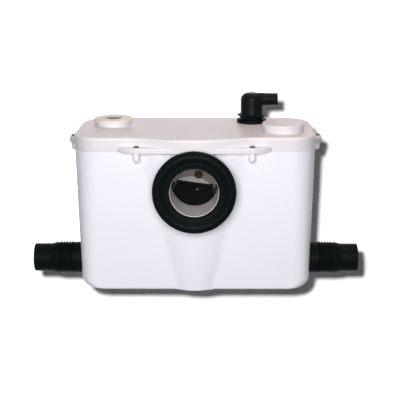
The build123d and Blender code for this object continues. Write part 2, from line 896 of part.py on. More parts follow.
def in_flap_plane(piece, front_y):
    """Place a piece drawn flat (x across, y up, z towards the front) in the inlet pipe."""
    stand = Rot(quarter_turn, 0, 0)
    return Pos(0, -front_y, inlet_z) * Rot(0, flap_turn_deg, 0) * stand * piece


def half_disc(radius, low, high):
    """Flat disc cut to the band between two heights."""
    band_width = radius * 2 + overrun
    band = Pos(0, (low + high) / 2) * Rectangle(band_width, high - low)
    return Circle(radius) & band


def make_flap_bar():
    """Arched bar across the inlet pipe, clamped on the shield over the flap's hinge."""
    left = (bar_arch_shift - bar_arch_half_length, bar_low)
    right = (bar_arch_shift + bar_arch_half_length, bar_low)
    crown = (bar_arch_shift, bar_low + bar_arch_height)
    face = make_face([ThreePointArc(left, crown, right), Line(right, left)])
    face += Pos(clamp_screw_side, clamp_screw_rise) * Circle(clamp_screw_radius * bar_lobe_share)
    neck_height = clamp_screw_rise - bar_low
    face += Pos(clamp_screw_side, bar_low + neck_height / 2) * Rectangle(clamp_screw_radius, neck_height)
    bar = extrude(face, amount=bar_thickness)
    bar -= rod((clamp_screw_side, clamp_screw_rise, -overrun), up_direction, bar_thickness + overrun * 2,
               screw_shank_radius + running_gap)
    return in_flap_plane(bar, flap_plane_y)


def make_flap_shield():
    """Thin plate that closes the top of the inlet pipe, with the two ears of the flap's hinge."""
    radius = inlet_bore_radius + inlet_seat_depth - running_gap
    back_z = -shield_thickness - running_gap
    shield = Pos(0, 0, back_z) * extrude(half_disc(radius, bar_low, radius), amount=shield_thickness)
    shield -= rod((clamp_screw_side, clamp_screw_rise, back_z - overrun), up_direction,
                  shield_thickness + overrun * 2, screw_shank_radius + running_gap)
    ear_inner = hinge_knuckle_half_length + face_gap
    ear_outer = ear_inner + hinge_ear_width
    axis_z = hinge_axis_offset()
    for side in (-1, 1):
        shield += rod((side * ear_inner, 0, axis_z), (side, 0, 0), hinge_ear_width, hinge_ear_radius)
        across = sorted((side * ear_inner, side * ear_outer))
        shield += block(across, (0, bar_low + ear_root), (back_z, -running_gap))
    shield -= rod((-inlet_bore_radius, 0, axis_z), (1, 0, 0), inlet_bore_radius * 2,
                  hinge_pin_radius + running_gap)
    return in_flap_plane(shield, flap_plane_y)


def hinge_axis_offset():
    """Distance of the flap's hinge axis in front of the bar's back face."""
    return -hinge_ear_radius + shield_thickness / 2


def make_hinge_pin():
    """Steel pin of the inlet flap."""
    half = hinge_knuckle_half_length + hinge_ear_width + face_gap * 2
    pin = rod((-half, 0, hinge_axis_offset()), (1, 0, 0), half * 2, hinge_pin_radius)
    return in_flap_plane(pin, flap_plane_y)


def make_inlet_flap():
    """Rubber flap in the toilet inlet, hanging from its pin."""
    radius = inlet_bore_radius - flap_edge_gap
    axis_z = hinge_axis_offset()
    face = half_disc(radius, -radius, -flap_drop)
    for side in (-1, 1):
        corner = [
            (side * radius, -flap_drop - flap_notch_height),
            (side * (radius - flap_notch_width), -flap_drop),
            (side * (radius - flap_notch_width), overrun),
            (side * radius, overrun),
        ]
        face -= make_face(Polyline(*corner, close=True))
    tab = Rectangle(flap_tab_half_length * 2, flap_drop + hinge_knuckle_radius)
    tab = Pos(0, -(flap_drop + hinge_knuckle_radius) / 2) * tab
    sheet = extrude(face + tab, amount=flap_thickness)
    flap = Pos(0, 0, axis_z - flap_thickness / 2) * sheet
    flap += rod((-hinge_knuckle_half_length, 0, axis_z), (1, 0, 0), hinge_knuckle_half_length * 2,
                hinge_knuckle_radius)
    flap -= rod((-radius, 0, axis_z), (1, 0, 0), radius * 2, hinge_pin_radius + running_gap)
    flap -= rod((rivet_side, -rivet_drop, axis_z - radius), up_direction, radius * 2, rivet_radius / 2)
    return in_flap_plane(flap, flap_plane_y)


def make_flap_rivet():
    """Steel rivet that stiffens the inlet flap under its hinge."""
    axis_z = hinge_axis_offset()
    half = flap_thickness / 2
    shank = rod((rivet_side, -rivet_drop, axis_z - half), up_direction, flap_thickness, rivet_radius / 2)
    front = rod((rivet_side, -rivet_drop, axis_z + half), up_direction, rivet_head_height, rivet_radius)
    front = fillet(front.edges().sort_by(Axis.Z)[-1], rivet_head_height / 2)
    back = rod((rivet_side, -rivet_drop, axis_z - half - rivet_head_height), up_direction,
               rivet_head_height, rivet_radius)
    return in_flap_plane(shank + front + back, flap_plane_y)


def make_clamp_screw():
    """Brass screw that fixes the bar in the inlet pipe."""
    head = rod((clamp_screw_side, clamp_screw_rise, bar_thickness + running_gap), up_direction,
               clamp_screw_head, clamp_screw_radius)
    head = fillet(head.edges().sort_by(Axis.Z)[-1], clamp_screw_head / 2)
    shank_low = -shield_thickness - running_gap
    shank = rod((clamp_screw_side, clamp_screw_rise, shank_low), up_direction,
                bar_thickness + running_gap * 2 - shank_low, screw_shank_radius)
    slot = Pos(clamp_screw_side, clamp_screw_rise, bar_thickness + running_gap + clamp_screw_head)
    slot *= Rot(0, 0, quarter_turn / 2) * Box(clamp_screw_radius * 2, screw_recess_width, screw_recess_depth)
    return in_flap_plane(head + shank - slot, flap_plane_y)


def make_side_spigot(side):
    """Spigot through a side wall, with the ears of its flap's hinge inside the tank."""
    profile = [
        (spigot_bore_radius, spigot_inner_x),
        (spigot_radius, spigot_inner_x),
        (spigot_radius, spigot_outer_x),
        (spigot_bore_radius, spigot_outer_x),
    ]
    spigot = facing_side(turned(profile), side, side_inlet_y, side_inlet_z)
    axis_x = spigot_inner_x - side_knuckle_radius - face_gap
    axis_z = side_inlet_z + spigot_radius
    ear_inner = side_knuckle_half_length + face_gap
    for way in (-1, 1):
        near = side_inlet_y + way * ear_inner
        far = near + way * side_ear_width
        y_range = (min(near, far), max(near, far))
        x_range = sorted((side * axis_x, side * (spigot_inner_x + side_ear_width)))
        spigot += block(x_range, y_range, (axis_z - side_knuckle_radius, axis_z + side_knuckle_radius))
        spigot += rod((side * axis_x, y_range[0], axis_z), back_direction, side_ear_width,
                      side_knuckle_radius)
    reach = ear_inner + side_ear_width + overrun
    spigot -= rod((side * axis_x, side_inlet_y - reach, axis_z), back_direction, reach * 2,
                  side_pin_radius + running_gap)
    clear = turned([
        (0, spigot_inner_x - overrun),
        (spigot_bore_radius, spigot_inner_x - overrun),
        (spigot_bore_radius, spigot_outer_x + overrun),
        (0, spigot_outer_x + overrun),
    ])
    return spigot - facing_side(clear, side, side_inlet_y, side_inlet_z)


def make_side_pins():
    """Hinge pins of the two side flaps."""
    axis_x = spigot_inner_x - side_knuckle_radius - face_gap
    axis_z = side_inlet_z + spigot_radius
    half = side_knuckle_half_length + face_gap + side_ear_width
    pieces = []
    for side in (-1, 1):
        start = (side * axis_x, side_inlet_y - half, axis_z)
        pieces += rod(start, back_direction, half * 2, side_pin_radius).solids()
    return Compound(children=pieces)


def make_side_flap(side):
    """Non-return flap that hangs over the inner end of a side spigot."""
    axis_x = spigot_inner_x - side_knuckle_radius - face_gap
    axis_z = side_inlet_z + spigot_radius
    face_x = spigot_inner_x - face_gap
    back_x = face_x - side_flap_thickness
    profile = [
        (0, back_x),
        (side_flap_radius, back_x),
        (side_flap_radius, face_x),
        (0, face_x),
    ]
    flap = facing_side(turned(profile), side, side_inlet_y, side_inlet_z)
    y_range = (side_inlet_y - side_knuckle_half_length, side_inlet_y + side_knuckle_half_length)
    flap += block(sorted((side * back_x, side * face_x)), y_range, (side_inlet_z, axis_z))
    flap += rod((side * axis_x, y_range[0], axis_z), back_direction, side_knuckle_half_length * 2,
                side_knuckle_radius)
    reach = side_knuckle_half_length + overrun
    flap -= rod((side * axis_x, side_inlet_y - reach, axis_z), back_direction, reach * 2,
                side_pin_radius + running_gap)
    return flap


def sleeve_stations():
    """Distance from the tank's middle and outer radius of each step of a rubber sleeve."""
    start = half_width_at(side_inlet_z + sleeve_rib_radius) + face_gap
    stations = [(start, sleeve_plain_radius), (start + sleeve_plain_length, sleeve_plain_radius)]
    land = sleeve_rib_pitch * sleeve_rib_land_share / 2
    place = start + sleeve_plain_length
    for index in range(sleeve_rib_count):
        middle = place + sleeve_rib_pitch * (index + 1 / 2)
        valley = middle + sleeve_rib_pitch / 2
        stations.append((middle - sleeve_rib_pitch / 2 + land / 2, sleeve_groove_radius))
        stations.append((middle - land / 2, sleeve_rib_radius))
        stations.append((middle + land / 2, sleeve_rib_radius))
        stations.append((valley - land / 2, sleeve_groove_radius))
    place += sleeve_rib_pitch * sleeve_rib_count
    stations.append((place + sleeve_bulge_length / 4, sleeve_plain_radius))
    stations.append((place + sleeve_bulge_length, sleeve_plain_radius))
    place += sleeve_bulge_length + sleeve_taper_length
    stations.append((place, sleeve_tip_radius))
    half_ridge = sleeve_tip_ridge_width / 2
    for index in (1, 2):
        middle = place + sleeve_tip_length * index / 4
        stations.append((middle - half_ridge, sleeve_tip_radius))
        stations.append((middle, sleeve_tip_radius + sleeve_tip_ridge_rise))
        stations.append((middle + half_ridge, sleeve_tip_radius))
    stations.append((place + sleeve_tip_length, sleeve_tip_radius))
    return stations


def make_sleeve(side):
    """Ribbed rubber sleeve that joins a waste pipe to a side spigot."""
    circles = []
    stations = sleeve_stations()
    for place, radius in stations:
        plane = Plane(origin=(side * place, side_inlet_y, side_inlet_z), z_dir=(1, 0, 0))
        circles.append(plane * Circle(radius))
    body = loft(circles, ruled=True)
    start = stations[0][0]
    end = stations[-1][0]
    seat_end = start + sleeve_seat_length
    seat_start = (side * (start - overrun), side_inlet_y, side_inlet_z)
    body -= rod(seat_start, (side, 0, 0), seat_end - start + overrun, spigot_radius + running_gap)
    bore_start = (side * start, side_inlet_y, side_inlet_z)
    body -= rod(bore_start, (side, 0, 0), end - start + overrun, waste_pipe_radius)
    return body


def make_discharge_pipe():
    """Pipe from the pump's outlet along the back and up through the lid."""
    path = FilletPolyline(
        (duct_end_x + face_gap, discharge_y, pipe_run_z),
        (discharge_x, discharge_y, pipe_run_z),
        (discharge_x, discharge_y, riser_top_z),
        radius=pipe_bend_radius,
    )
    start = Plane(origin=(duct_end_x + face_gap, discharge_y, pipe_run_z), z_dir=(1, 0, 0))
    return sweep(start * (Circle(pipe_radius) - Circle(pipe_bore_radius)), path=path)


def make_grommet():
    """Rubber grommet in the lid round the riser."""
    inner = pipe_radius + running_gap
    half = (grommet_flange_top_z - grommet_flange_low_z) / 2
    edge = half / 2
    profile = [
        (inner, grommet_inner_z),
        (grommet_neck_radius + edge, grommet_inner_z),
        (grommet_neck_radius + edge, lid_under_z - face_gap),
        (grommet_neck_radius, lid_under_z - face_gap),
        (grommet_neck_radius, grommet_flange_low_z),
        (grommet_flange_radius - edge / 2, grommet_flange_low_z),
        (grommet_flange_radius, grommet_flange_low_z + edge),
        (grommet_flange_radius, grommet_flange_top_z - edge),
        (grommet_flange_radius - edge, grommet_flange_top_z),
        (grommet_lip_radius + edge, grommet_flange_top_z),
        (grommet_lip_radius, grommet_flange_top_z + edge),
        (grommet_lip_radius, grommet_top_z),
        (inner, grommet_top_z),
    ]
    return Pos(discharge_x, discharge_y, 0) * turned(profile)


def crowned(points, radius):
    """Solid turned about the Z axis whose outline ends in a rounded shoulder and a flat crown."""
    edges = [Line(a, b) for a, b in zip(points, points[1:])]
    side, spring = points[-1]
    top = spring + radius
    edges.append(CenterArc((side - radius, spring), radius, 0, quarter_turn))
    edges.append(Line((side - radius, top), (0, top)))
    edges.append(Line((0, top), points[0]))
    return revolve(make_face([Plane.XZ * edge for edge in edges]), axis=Axis.Z)


def make_elbow():
    """Discharge elbow that swivels on the riser."""
    lip_low = elbow_lip_z - elbow_lip_rise
    lip_top = elbow_lip_z + elbow_lip_rise
    half_edge = elbow_lip_edge / 2
    spring_z = elbow_top_z - elbow_crown_radius
    wall = elbow_body_radius - elbow_bore_radius
    outline = [
        (0, elbow_bottom_z),
        (elbow_neck_radius, elbow_bottom_z),
        (elbow_neck_radius, lip_low),
        (elbow_lip_radius, elbow_lip_z - half_edge),
        (elbow_lip_radius, elbow_lip_z + half_edge),
        (elbow_body_radius, lip_top),
        (elbow_body_radius, spring_z),
    ]
    outside = crowned(outline, elbow_crown_radius)
    nozzle_start = elbow_body_radius * nozzle_end_share
    root_length = elbow_body_radius + nozzle_root_gap - nozzle_start
    length = nozzle_reach - nozzle_start
    nozzle = rod((nozzle_start, 0, nozzle_z), (1, 0, 0), length, nozzle_radius)
    nozzle += rod((nozzle_start, 0, nozzle_z), (1, 0, 0), root_length, nozzle_root_radius)
    for index in range(nozzle_groove_count):
        place = nozzle_reach - nozzle_groove_pitch * (index + 1 / 2)
        groove = rod((place - nozzle_groove_width, 0, nozzle_z), (1, 0, 0), nozzle_groove_width,
                     nozzle_radius + overrun)
        groove -= rod((place - nozzle_groove_width, 0, nozzle_z), (1, 0, 0), nozzle_groove_width,
                      nozzle_radius - nozzle_groove_depth)
        nozzle -= groove
    outside += nozzle
    bush_top = riser_top_z + face_gap
    chamber = [
        (0, elbow_bottom_z - overrun),
        (pipe_radius + running_gap, elbow_bottom_z - overrun),
        (pipe_radius + running_gap, bush_top),
        (elbow_bore_radius, bush_top),
        (elbow_bore_radius, spring_z),
    ]
    inside = crowned(chamber, elbow_crown_radius - wall)
    inside += rod((0, 0, nozzle_z), (1, 0, 0), nozzle_reach + overrun, nozzle_bore_radius)
    return Pos(discharge_x, discharge_y, 0) * (outside - inside)


def make_valve_seat():
    """Seat of the non-return flap, on top of the riser."""
    top = riser_top_z + valve_seat_height
    seat = ring(0, 0, riser_top_z, top, pipe_radius, valve_bore_radius)
    axis_z = riser_top_z + valve_hinge_rise
    ear_inner = valve_knuckle_half_length + face_gap
    for way in (-1, 1):
        y_range = sorted((way * ear_inner, way * (ear_inner + valve_ear_width)))
        x_range = (-valve_hinge_offset - valve_knuckle_radius, -valve_hinge_offset + valve_knuckle_radius / 2)
        seat += block(x_range, y_range, (riser_top_z, axis_z))
        seat += rod((-valve_hinge_offset, y_range[0], axis_z), back_direction, valve_ear_width,
                    valve_knuckle_radius)
    reach = ear_inner + valve_ear_width + overrun
    seat -= rod((-valve_hinge_offset, -reach, axis_z), back_direction, reach * 2,
                valve_pin_radius + running_gap)
    return Pos(discharge_x, discharge_y, 0) * seat


def make_valve_pin():
    """Hinge pin of the non-return flap."""
    half = valve_knuckle_half_length + face_gap + valve_ear_width
    start = (discharge_x - valve_hinge_offset, discharge_y - half, riser_top_z + valve_hinge_rise)
    return rod(start, back_direction, half * 2, valve_pin_radius)


def make_valve_flap():
    """Non-return flap in the elbow."""
    low = riser_top_z + valve_seat_height + face_gap
    high = low + valve_flap_thickness
    axis_z = riser_top_z + valve_hinge_rise
    flap = disc(valve_flap_shift, 0, low, high, valve_flap_radius)
    half = valve_knuckle_half_length
    flap += block((-valve_hinge_offset, 0), (-half, half), (low, high))
    flap += rod((-valve_hinge_offset, -half, axis_z), back_direction, half * 2, valve_knuckle_radius)
    flap -= block(
        (-valve_hinge_offset - valve_knuckle_radius, valve_knuckle_radius - valve_hinge_offset),
        (-half, half),
        (low - overrun, low),
    )
    ear_reach = half + face_gap * 2 + valve_ear_width
    for way in (-1, 1):
        y_range = sorted((way * half, way * ear_reach))
        flap -= block((-pipe_radius, valve_knuckle_radius + face_gap - valve_hinge_offset), y_range,
                      (low - overrun, high + overrun))
    flap -= rod((-valve_hinge_offset, -pipe_radius, axis_z), back_direction, pipe_radius * 2,
                valve_pin_radius + running_gap)
    return Pos(discharge_x, discharge_y, 0) * flap


def make_vent_cap():
    """Vent cap with a round window, a hub on spokes and the skirt that holds the filter."""
    low = lid_top_z + vent_neck_height + face_gap
    top = low + vent_cap_thickness
    cap = disc(0, 0, low, top, vent_cap_radius)
    cap = fillet(cap.edges(), vent_cap_round)
    skirt_low = low - vent_skirt_depth
    skirt_inner = vent_skirt_radius - vent_skirt_wall
    cap += ring(0, 0, skirt_low, low + vent_cap_round, vent_skirt_radius, skirt_inner)
    cap += ring(0, 0, skirt_low, skirt_low + vent_skirt_wall, vent_skirt_radius, vent_window_radius)
    cap -= disc(0, 0, low - overrun, top + overrun, vent_window_radius)
    hub_top = top - vent_hub_drop
    cap += disc(0, 0, low, hub_top, vent_hub_radius)
    for index in range(vent_spoke_count):
        spoke = block((0, vent_window_radius + overrun), (-vent_spoke_width / 2, vent_spoke_width / 2),
                      (low, hub_top - vent_hub_drop / 2))
        cap += Rot(0, 0, index * full_turn / vent_spoke_count) * spoke
    return Pos(vent_x, vent_y, 0) * cap


def make_filter():
    """Carbon foam disc inside the vent cap."""
    low = lid_top_z + vent_neck_height + face_gap - vent_skirt_depth + vent_skirt_wall + face_gap
    radius = vent_skirt_radius - vent_skirt_wall - face_gap
    return disc(vent_x, vent_y, low, low + filter_thickness, radius)


def make_access_cap():
    """Smooth push-in cap over the access opening: a lip over a narrower step and a hollow plug."""
    low = lid_top_z + access_neck_height + face_gap
    step_top = low + access_step_height
    cap = disc(0, 0, step_top, access_cap_top_z, access_cap_radius)
    cap = fillet(cap.edges(), access_cap_round)
    cap += disc(0, 0, low, step_top + access_cap_round, access_step_radius)
    under = access_cap_top_z - access_top_wall
    plug_low = low - access_plug_depth
    cap += disc(0, 0, plug_low, low + overrun, access_plug_radius)
    cap -= disc(0, 0, plug_low - overrun, under, access_plug_radius - access_plug_wall)
    return Pos(access_x, access_y, 0) * cap


def make_basket():
    """Slotted basket round the cutter, standing on the tank's floor."""
    basket = ring(0, 0, tank_floor, casing_low_z, basket_radius, basket_radius - basket_wall)
    slot_low = tank_floor + basket_slot_margin
    slot_high = casing_low_z - basket_slot_margin
    for index in range(basket_slot_count):
        slot = block((0, basket_radius + overrun), (-basket_slot_width / 2, basket_slot_width / 2),
                     (slot_low, slot_high))
        basket -= Rot(0, 0, index * full_turn / basket_slot_count) * slot
    return Pos(motor_x, motor_y, 0) * basket


def make_pump_casing():
    """Round pump casing with its suction eye below and its outlet duct along the back."""
    casing = disc(motor_x, motor_y, casing_low_z, casing_top_z, casing_radius)
    casing += rod((motor_x, discharge_y, pipe_run_z), (1, 0, 0), duct_end_x - motor_x, pipe_radius)
    casing -= disc(motor_x, motor_y, casing_top_z, casing_top_z + pipe_radius, seal_plate_radius + face_gap)
    casing -= disc(motor_x, motor_y, casing_chamber_low, casing_top_z + overrun, casing_radius - casing_wall)
    casing -= rod((motor_x, discharge_y, pipe_run_z), (1, 0, 0), duct_end_x - motor_x + overrun,
                  duct_bore_radius)
    casing -= disc(motor_x, motor_y, casing_low_z - overrun, casing_chamber_low + overrun, suction_eye_radius)
    return casing


def make_coupling():
    """Rubber sleeve over the joint of the outlet duct and the discharge pipe."""
    inner = pipe_radius + running_gap
    start = duct_end_x - coupling_half_length
    face = Circle(coupling_radius) - Circle(inner)
    plane = Plane(origin=(start, discharge_y, pipe_run_z), z_dir=(1, 0, 0))
    return extrude(plane * face, amount=coupling_half_length * 2)


def make_coupling_bands():
    """Two steel clamp bands on the rubber sleeve."""
    pieces = []
    face = Circle(coupling_band_radius) - Circle(coupling_radius + running_gap)
    for side in (-1, 1):
        start = duct_end_x + side * coupling_half_length / 2 - coupling_band_width / 2
        plane = Plane(origin=(start, discharge_y, pipe_run_z), z_dir=(1, 0, 0))
        pieces += extrude(plane * face, amount=coupling_band_width).solids()
    return Compound(children=pieces)


def make_seal_plate():
    """Plate that closes the pump casing and carries the shaft seal."""
    return ring(motor_x, motor_y, casing_top_z, seal_plate_top, seal_plate_radius,
                shaft_seal_radius + running_gap)


def make_shaft_seal():
    """Shaft seal in the seal plate."""
    top = casing_top_z + shaft_seal_height
    return ring(motor_x, motor_y, casing_top_z, top, shaft_seal_radius, shaft_radius + running_gap)


def make_motor_can():
    """Steel can of the motor with the flange that hangs from the deck."""
    inner = motor_can_radius - motor_can_wall
    flange_low = deck_z - motor_flange_thickness
    can = ring(motor_x, motor_y, seal_plate_top, deck_z, motor_can_radius, inner)
    can += ring(motor_x, motor_y, flange_low, deck_z, motor_flange_radius, inner)
    for x, y in deck_bolt_places():
        can -= disc(x, y, flange_low - overrun, deck_z + overrun, deck_bolt_radius + screw_thread_gap)
    return can


def deck_bolt_places():
    """Centre of each bolt between the motor's flange and the deck."""
    places = []
    for index in range(deck_bolt_count):
        angle = math.radians(index * full_turn / deck_bolt_count - quarter_turn)
        x = motor_x + deck_bolt_ring_radius * math.cos(angle)
        y = motor_y + deck_bolt_ring_radius * math.sin(angle)
        places.append((x, y))
    return places


def make_end_shields():
    """Plates that hold the bearings in the motor can."""
    outer = motor_can_radius - motor_can_wall - running_gap
    inner = bearing_radius + running_gap
    pieces = []
    for low in (lower_shield_z, upper_shield_z):
        pieces += ring(motor_x, motor_y, low, low + end_shield_thickness, outer, inner).solids()
    return Compound(children=pieces)


def make_bearings():
    """Ball bearings at the two ends of the motor, modelled closed."""
    inner = shaft_radius + running_gap
    pieces = []
    for low in (lower_shield_z, upper_shield_z):
        pieces += ring(motor_x, motor_y, low, low + end_shield_thickness, bearing_radius, inner).solids()
    return Compound(children=pieces)


def make_stator():
    """Laminated stator core."""
    outer = motor_can_radius - motor_can_wall - running_gap
    return ring(motor_x, motor_y, stator_low_z, stator_low_z + stator_height, outer, stator_bore_radius)


def make_windings():
    """End windings above and below the stator."""
    pieces = []
    for low in (stator_low_z - winding_height, stator_low_z + stator_height):
        pieces += ring(motor_x, motor_y, low, low + winding_height, winding_outer_radius,
                       winding_inner_radius).solids()
    return Compound(children=pieces)


def make_rotor_core():
    """Rotor core on the motor shaft."""
    return ring(motor_x, motor_y, stator_low_z, stator_low_z + stator_height,
                stator_bore_radius - air_gap, shaft_radius)


def make_shaft():
    """Motor shaft from the upper bearing down to the cutter."""
    return disc(motor_x, motor_y, shaft_low_z, shaft_top_z, shaft_radius)


def make_impeller():
    """Open pump impeller with straight vanes under its disc."""
    top = casing_top_z - impeller_face_gap
    disc_low = top - impeller_disc
    vane_low = disc_low - impeller_vane_height
    impeller = disc(0, 0, disc_low, top, impeller_radius)
    impeller += disc(0, 0, vane_low, disc_low, impeller_hub_radius)
    for index in range(impeller_vane_count):
        vane = block((impeller_hub_radius / 2, impeller_radius), (0, impeller_vane_width),
                     (vane_low, disc_low))
        impeller += Rot(0, 0, index * full_turn / impeller_vane_count) * vane
    impeller &= disc(0, 0, vane_low, top, impeller_radius)
    impeller -= disc(0, 0, vane_low - overrun, top + overrun, shaft_radius)
    return Pos(motor_x, motor_y, 0) * impeller


def make_cutter():
    """Steel cutter bar with two raised tips."""
    half = cutter_width / 2
    bar = block((-cutter_reach, cutter_reach), (-half, half), (cutter_z, cutter_z + cutter_thickness))
    for side in (-1, 1):
        x_range = sorted((side * cutter_reach, side * (cutter_reach - cutter_thickness)))
        bar += block(x_range, (-half, half), (cutter_z, cutter_z + cutter_tip_height))
    bar -= disc(0, 0, cutter_z - overrun, cutter_z + cutter_thickness + overrun, shaft_radius)
    return Pos(motor_x, motor_y, 0) * bar


def make_cutter_nut():
    """Nut that holds the cutter on the shaft."""
    nut = extrude(RegularPolygon(cutter_nut_radius, 6), amount=cutter_nut_height)
    nut = Pos(motor_x, motor_y, cutter_z - cutter_nut_height) * nut
    return nut - disc(motor_x, motor_y, cutter_z - cutter_nut_height - overrun, cutter_z + overrun,
                      shaft_radius)


def make_deck():
    """Deck that carries the motor and the electrical parts."""
    width = deck_right_x - deck_left_x
    depth = deck_back_y - deck_front_y
    middle_x = (deck_left_x + deck_right_x) / 2
    middle_y = (deck_front_y + deck_back_y) / 2
    face = Pos(middle_x, middle_y) * RectangleRounded(width, depth, deck_corner_radius)
    deck = plate(face, deck_z, deck_top)
    for x, y in pillar_places():
        deck -= disc(x, y, deck_z - overrun, deck_top + overrun, screw_shank_radius + running_gap)
    for x, y in deck_bolt_places():
        deck -= disc(x, y, deck_z - overrun, deck_top + overrun, deck_bolt_radius + running_gap)
    return deck


def make_deck_screws():
    """Screws through the deck into the pillars."""
    pieces = []
    length = screw_length - deck_thickness
    for x, y in pillar_places():
        pieces += screw(x, y, deck_top, length, screw_shank_radius, screw_head_radius,
                        screw_head_height).solids()
    return Compound(children=pieces)


def make_motor_bolts():
    """Bolts through the deck into the motor's flange."""
    pieces = []
    length = deck_thickness + motor_flange_thickness
    for x, y in deck_bolt_places():
        pieces += screw(x, y, deck_top, length, deck_bolt_radius, deck_bolt_head_radius,
                        deck_bolt_head_height).solids()
    return Compound(children=pieces)


def make_capacitor():
    """Run capacitor of the motor, lying on the deck."""
    z = deck_top + clip_wall + capacitor_radius
    can = rod((capacitor_left_x, capacitor_y, z), (1, 0, 0), capacitor_length, capacitor_radius)
    can = fillet(can.edges(), clip_wall)
    end = capacitor_left_x + capacitor_length
    for side in (-1, 1):
        tab_y = capacitor_y + side * capacitor_radius / 2
        can += block((end - clip_wall, end + capacitor_radius / 2), (tab_y - clip_wall, tab_y + clip_wall),
                     (z - clip_wall / 2, z + clip_wall / 2))
    return can


def make_capacitor_clip():
    """Spring clip round the capacitor."""
    z = deck_top + clip_wall + capacitor_radius
    middle = capacitor_left_x + capacitor_length / 2
    inner = capacitor_radius + running_gap
    face = Circle(inner + clip_wall - running_gap) - Circle(inner)
    gap = Pos(0, inner) * Rectangle(inner * 2, inner)
    plane = Plane(origin=(middle - clip_width / 2, capacitor_y, z), x_dir=(0, 1, 0), z_dir=(1, 0, 0))
    return extrude(plane * (face - gap), amount=clip_width)


def make_terminal_block():
    """Terminal block on the deck, with its screw wells."""
    x_range = (terminal_x - terminal_length / 2, terminal_x + terminal_length / 2)
    y_range = (terminal_y - terminal_width / 2, terminal_y + terminal_width / 2)
    body = block(x_range, y_range, (deck_top, deck_top + terminal_height))
    pitch = terminal_length / terminal_way_count
    for index in range(terminal_way_count):
        x = x_range[0] + pitch * (index + 1 / 2)
        for side in (-1, 1):
            y = terminal_y + side * terminal_width / 4
            body -= disc(x, y, deck_top + terminal_height / 2, deck_top + terminal_height + overrun,
                         terminal_screw_radius)
    return body


def make_cutout():
    """Thermal cut-out on the upper end shield."""
    return disc(motor_x + cutout_offset, motor_y, upper_shield_top, upper_shield_top + cutout_height,
                cutout_radius)


def make_bell():
    """Tube that traps air under the pressure switch, open at its foot."""
    bell = ring(switch_x, switch_y, bell_low_z, bell_top_z, bell_radius, bell_radius - bell_wall)
    bell += ring(switch_x, switch_y, bell_top_z, bell_top_z + chamber_floor, chamber_radius,
                 bell_radius - bell_wall)
    bell += ring(switch_x, switch_y, bell_top_z, diaphragm_z, chamber_radius, chamber_radius - bell_wall)
    return bell


def make_diaphragm():
    """Rubber diaphragm over the bell, thin in the middle and thick at its rim."""
    top = diaphragm_z + diaphragm_thickness
    sheet = disc(switch_x, switch_y, diaphragm_z, top, chamber_radius)
    return sheet - disc(switch_x, switch_y, diaphragm_z - overrun, diaphragm_z + diaphragm_thickness / 2,
                        diaphragm_dish_radius)


def make_switch_housing():
    """Cup over the diaphragm that hangs under the lid."""
    low = diaphragm_z + diaphragm_thickness
    cup = disc(switch_x, switch_y, low, lid_under_z, chamber_radius)
    return cup - disc(switch_x, switch_y, low - overrun, lid_under_z - switch_wall,
                      chamber_radius - switch_wall)


def make_plunger():
    """Plunger that the diaphragm lifts against the switch."""
    low = diaphragm_z + diaphragm_thickness + face_gap
    top = low + plunger_plate
    plunger = disc(switch_x, switch_y, low, top, plunger_plate_radius)
    return plunger + disc(switch_x, switch_y, top, top + plunger_rod_height, plunger_rod_radius)


def micro_switch_low():
    """Underside of the small switch, above the plunger's full travel."""
    rod_top = diaphragm_z + diaphragm_thickness + face_gap + plunger_plate + plunger_rod_height
    return rod_top + plunger_travel + face_gap


def make_plunger_spring():
    """Spring round the plunger's rod, modelled as its sleeve of turns."""
    low = diaphragm_z + diaphragm_thickness + face_gap * 2 + plunger_plate
    return ring(switch_x, switch_y, low, micro_switch_low() - face_gap, plunger_spring_radius,
                plunger_spring_bore)


def make_micro_switch():
    """Small snap switch under the housing's roof."""
    half_length = micro_switch_length / 2
    half_width = micro_switch_width / 2
    return block(
        (switch_x - half_length, switch_x + half_length),
        (switch_y - half_width, switch_y + half_width),
        (micro_switch_low(), lid_under_z - switch_wall),
    )


def wall_y_at(height):
    """Outer face of the back wall at a height."""
    return half_depth_at(height)


def make_gland():
    """Cable gland: hexagon, thread through the wall and domed nut."""
    wall_y = wall_y_at(gland_z + gland_hex_radius) + face_gap
    inner_length = tank_wall + gland_nut_thickness + face_gap * 4
    gland = Pos(0, 0, 0) * extrude(RegularPolygon(gland_hex_radius, 6), amount=gland_hex_thickness)
    dome_top = gland_hex_thickness + gland_dome_length
    gland += disc(0, 0, 0, dome_top, gland_dome_radius)
    gland = fillet(gland.edges().sort_by(Axis.Z)[-1], gland_dome_radius / 4)
    gland += disc(0, 0, -inner_length, 0, gland_thread_radius)
    gland -= disc(0, 0, -inner_length - overrun, dome_top + overrun, gland_bore_radius)
    return Pos(gland_x, wall_y, gland_z) * Rot(-quarter_turn, 0, 0) * gland


def make_gland_nut():
    """Lock nut of the cable gland inside the tank."""
    wall_y = wall_y_at(gland_z - gland_hex_radius) - tank_wall - face_gap
    nut = extrude(RegularPolygon(gland_hex_radius, 6), amount=gland_nut_thickness)
    nut -= disc(0, 0, -overrun, gland_nut_thickness + overrun, gland_thread_radius + running_gap)
    return Pos(gland_x, wall_y - gland_nut_thickness, gland_z) * Rot(-quarter_turn, 0, 0) * nut


def make_pads():
    """Rubber pads flush with the base."""
    pieces = []
    for x, y in pad_places():
        pieces += disc(x, y, 0, pad_depth, pad_radius).solids()
    return Compound(children=pieces)


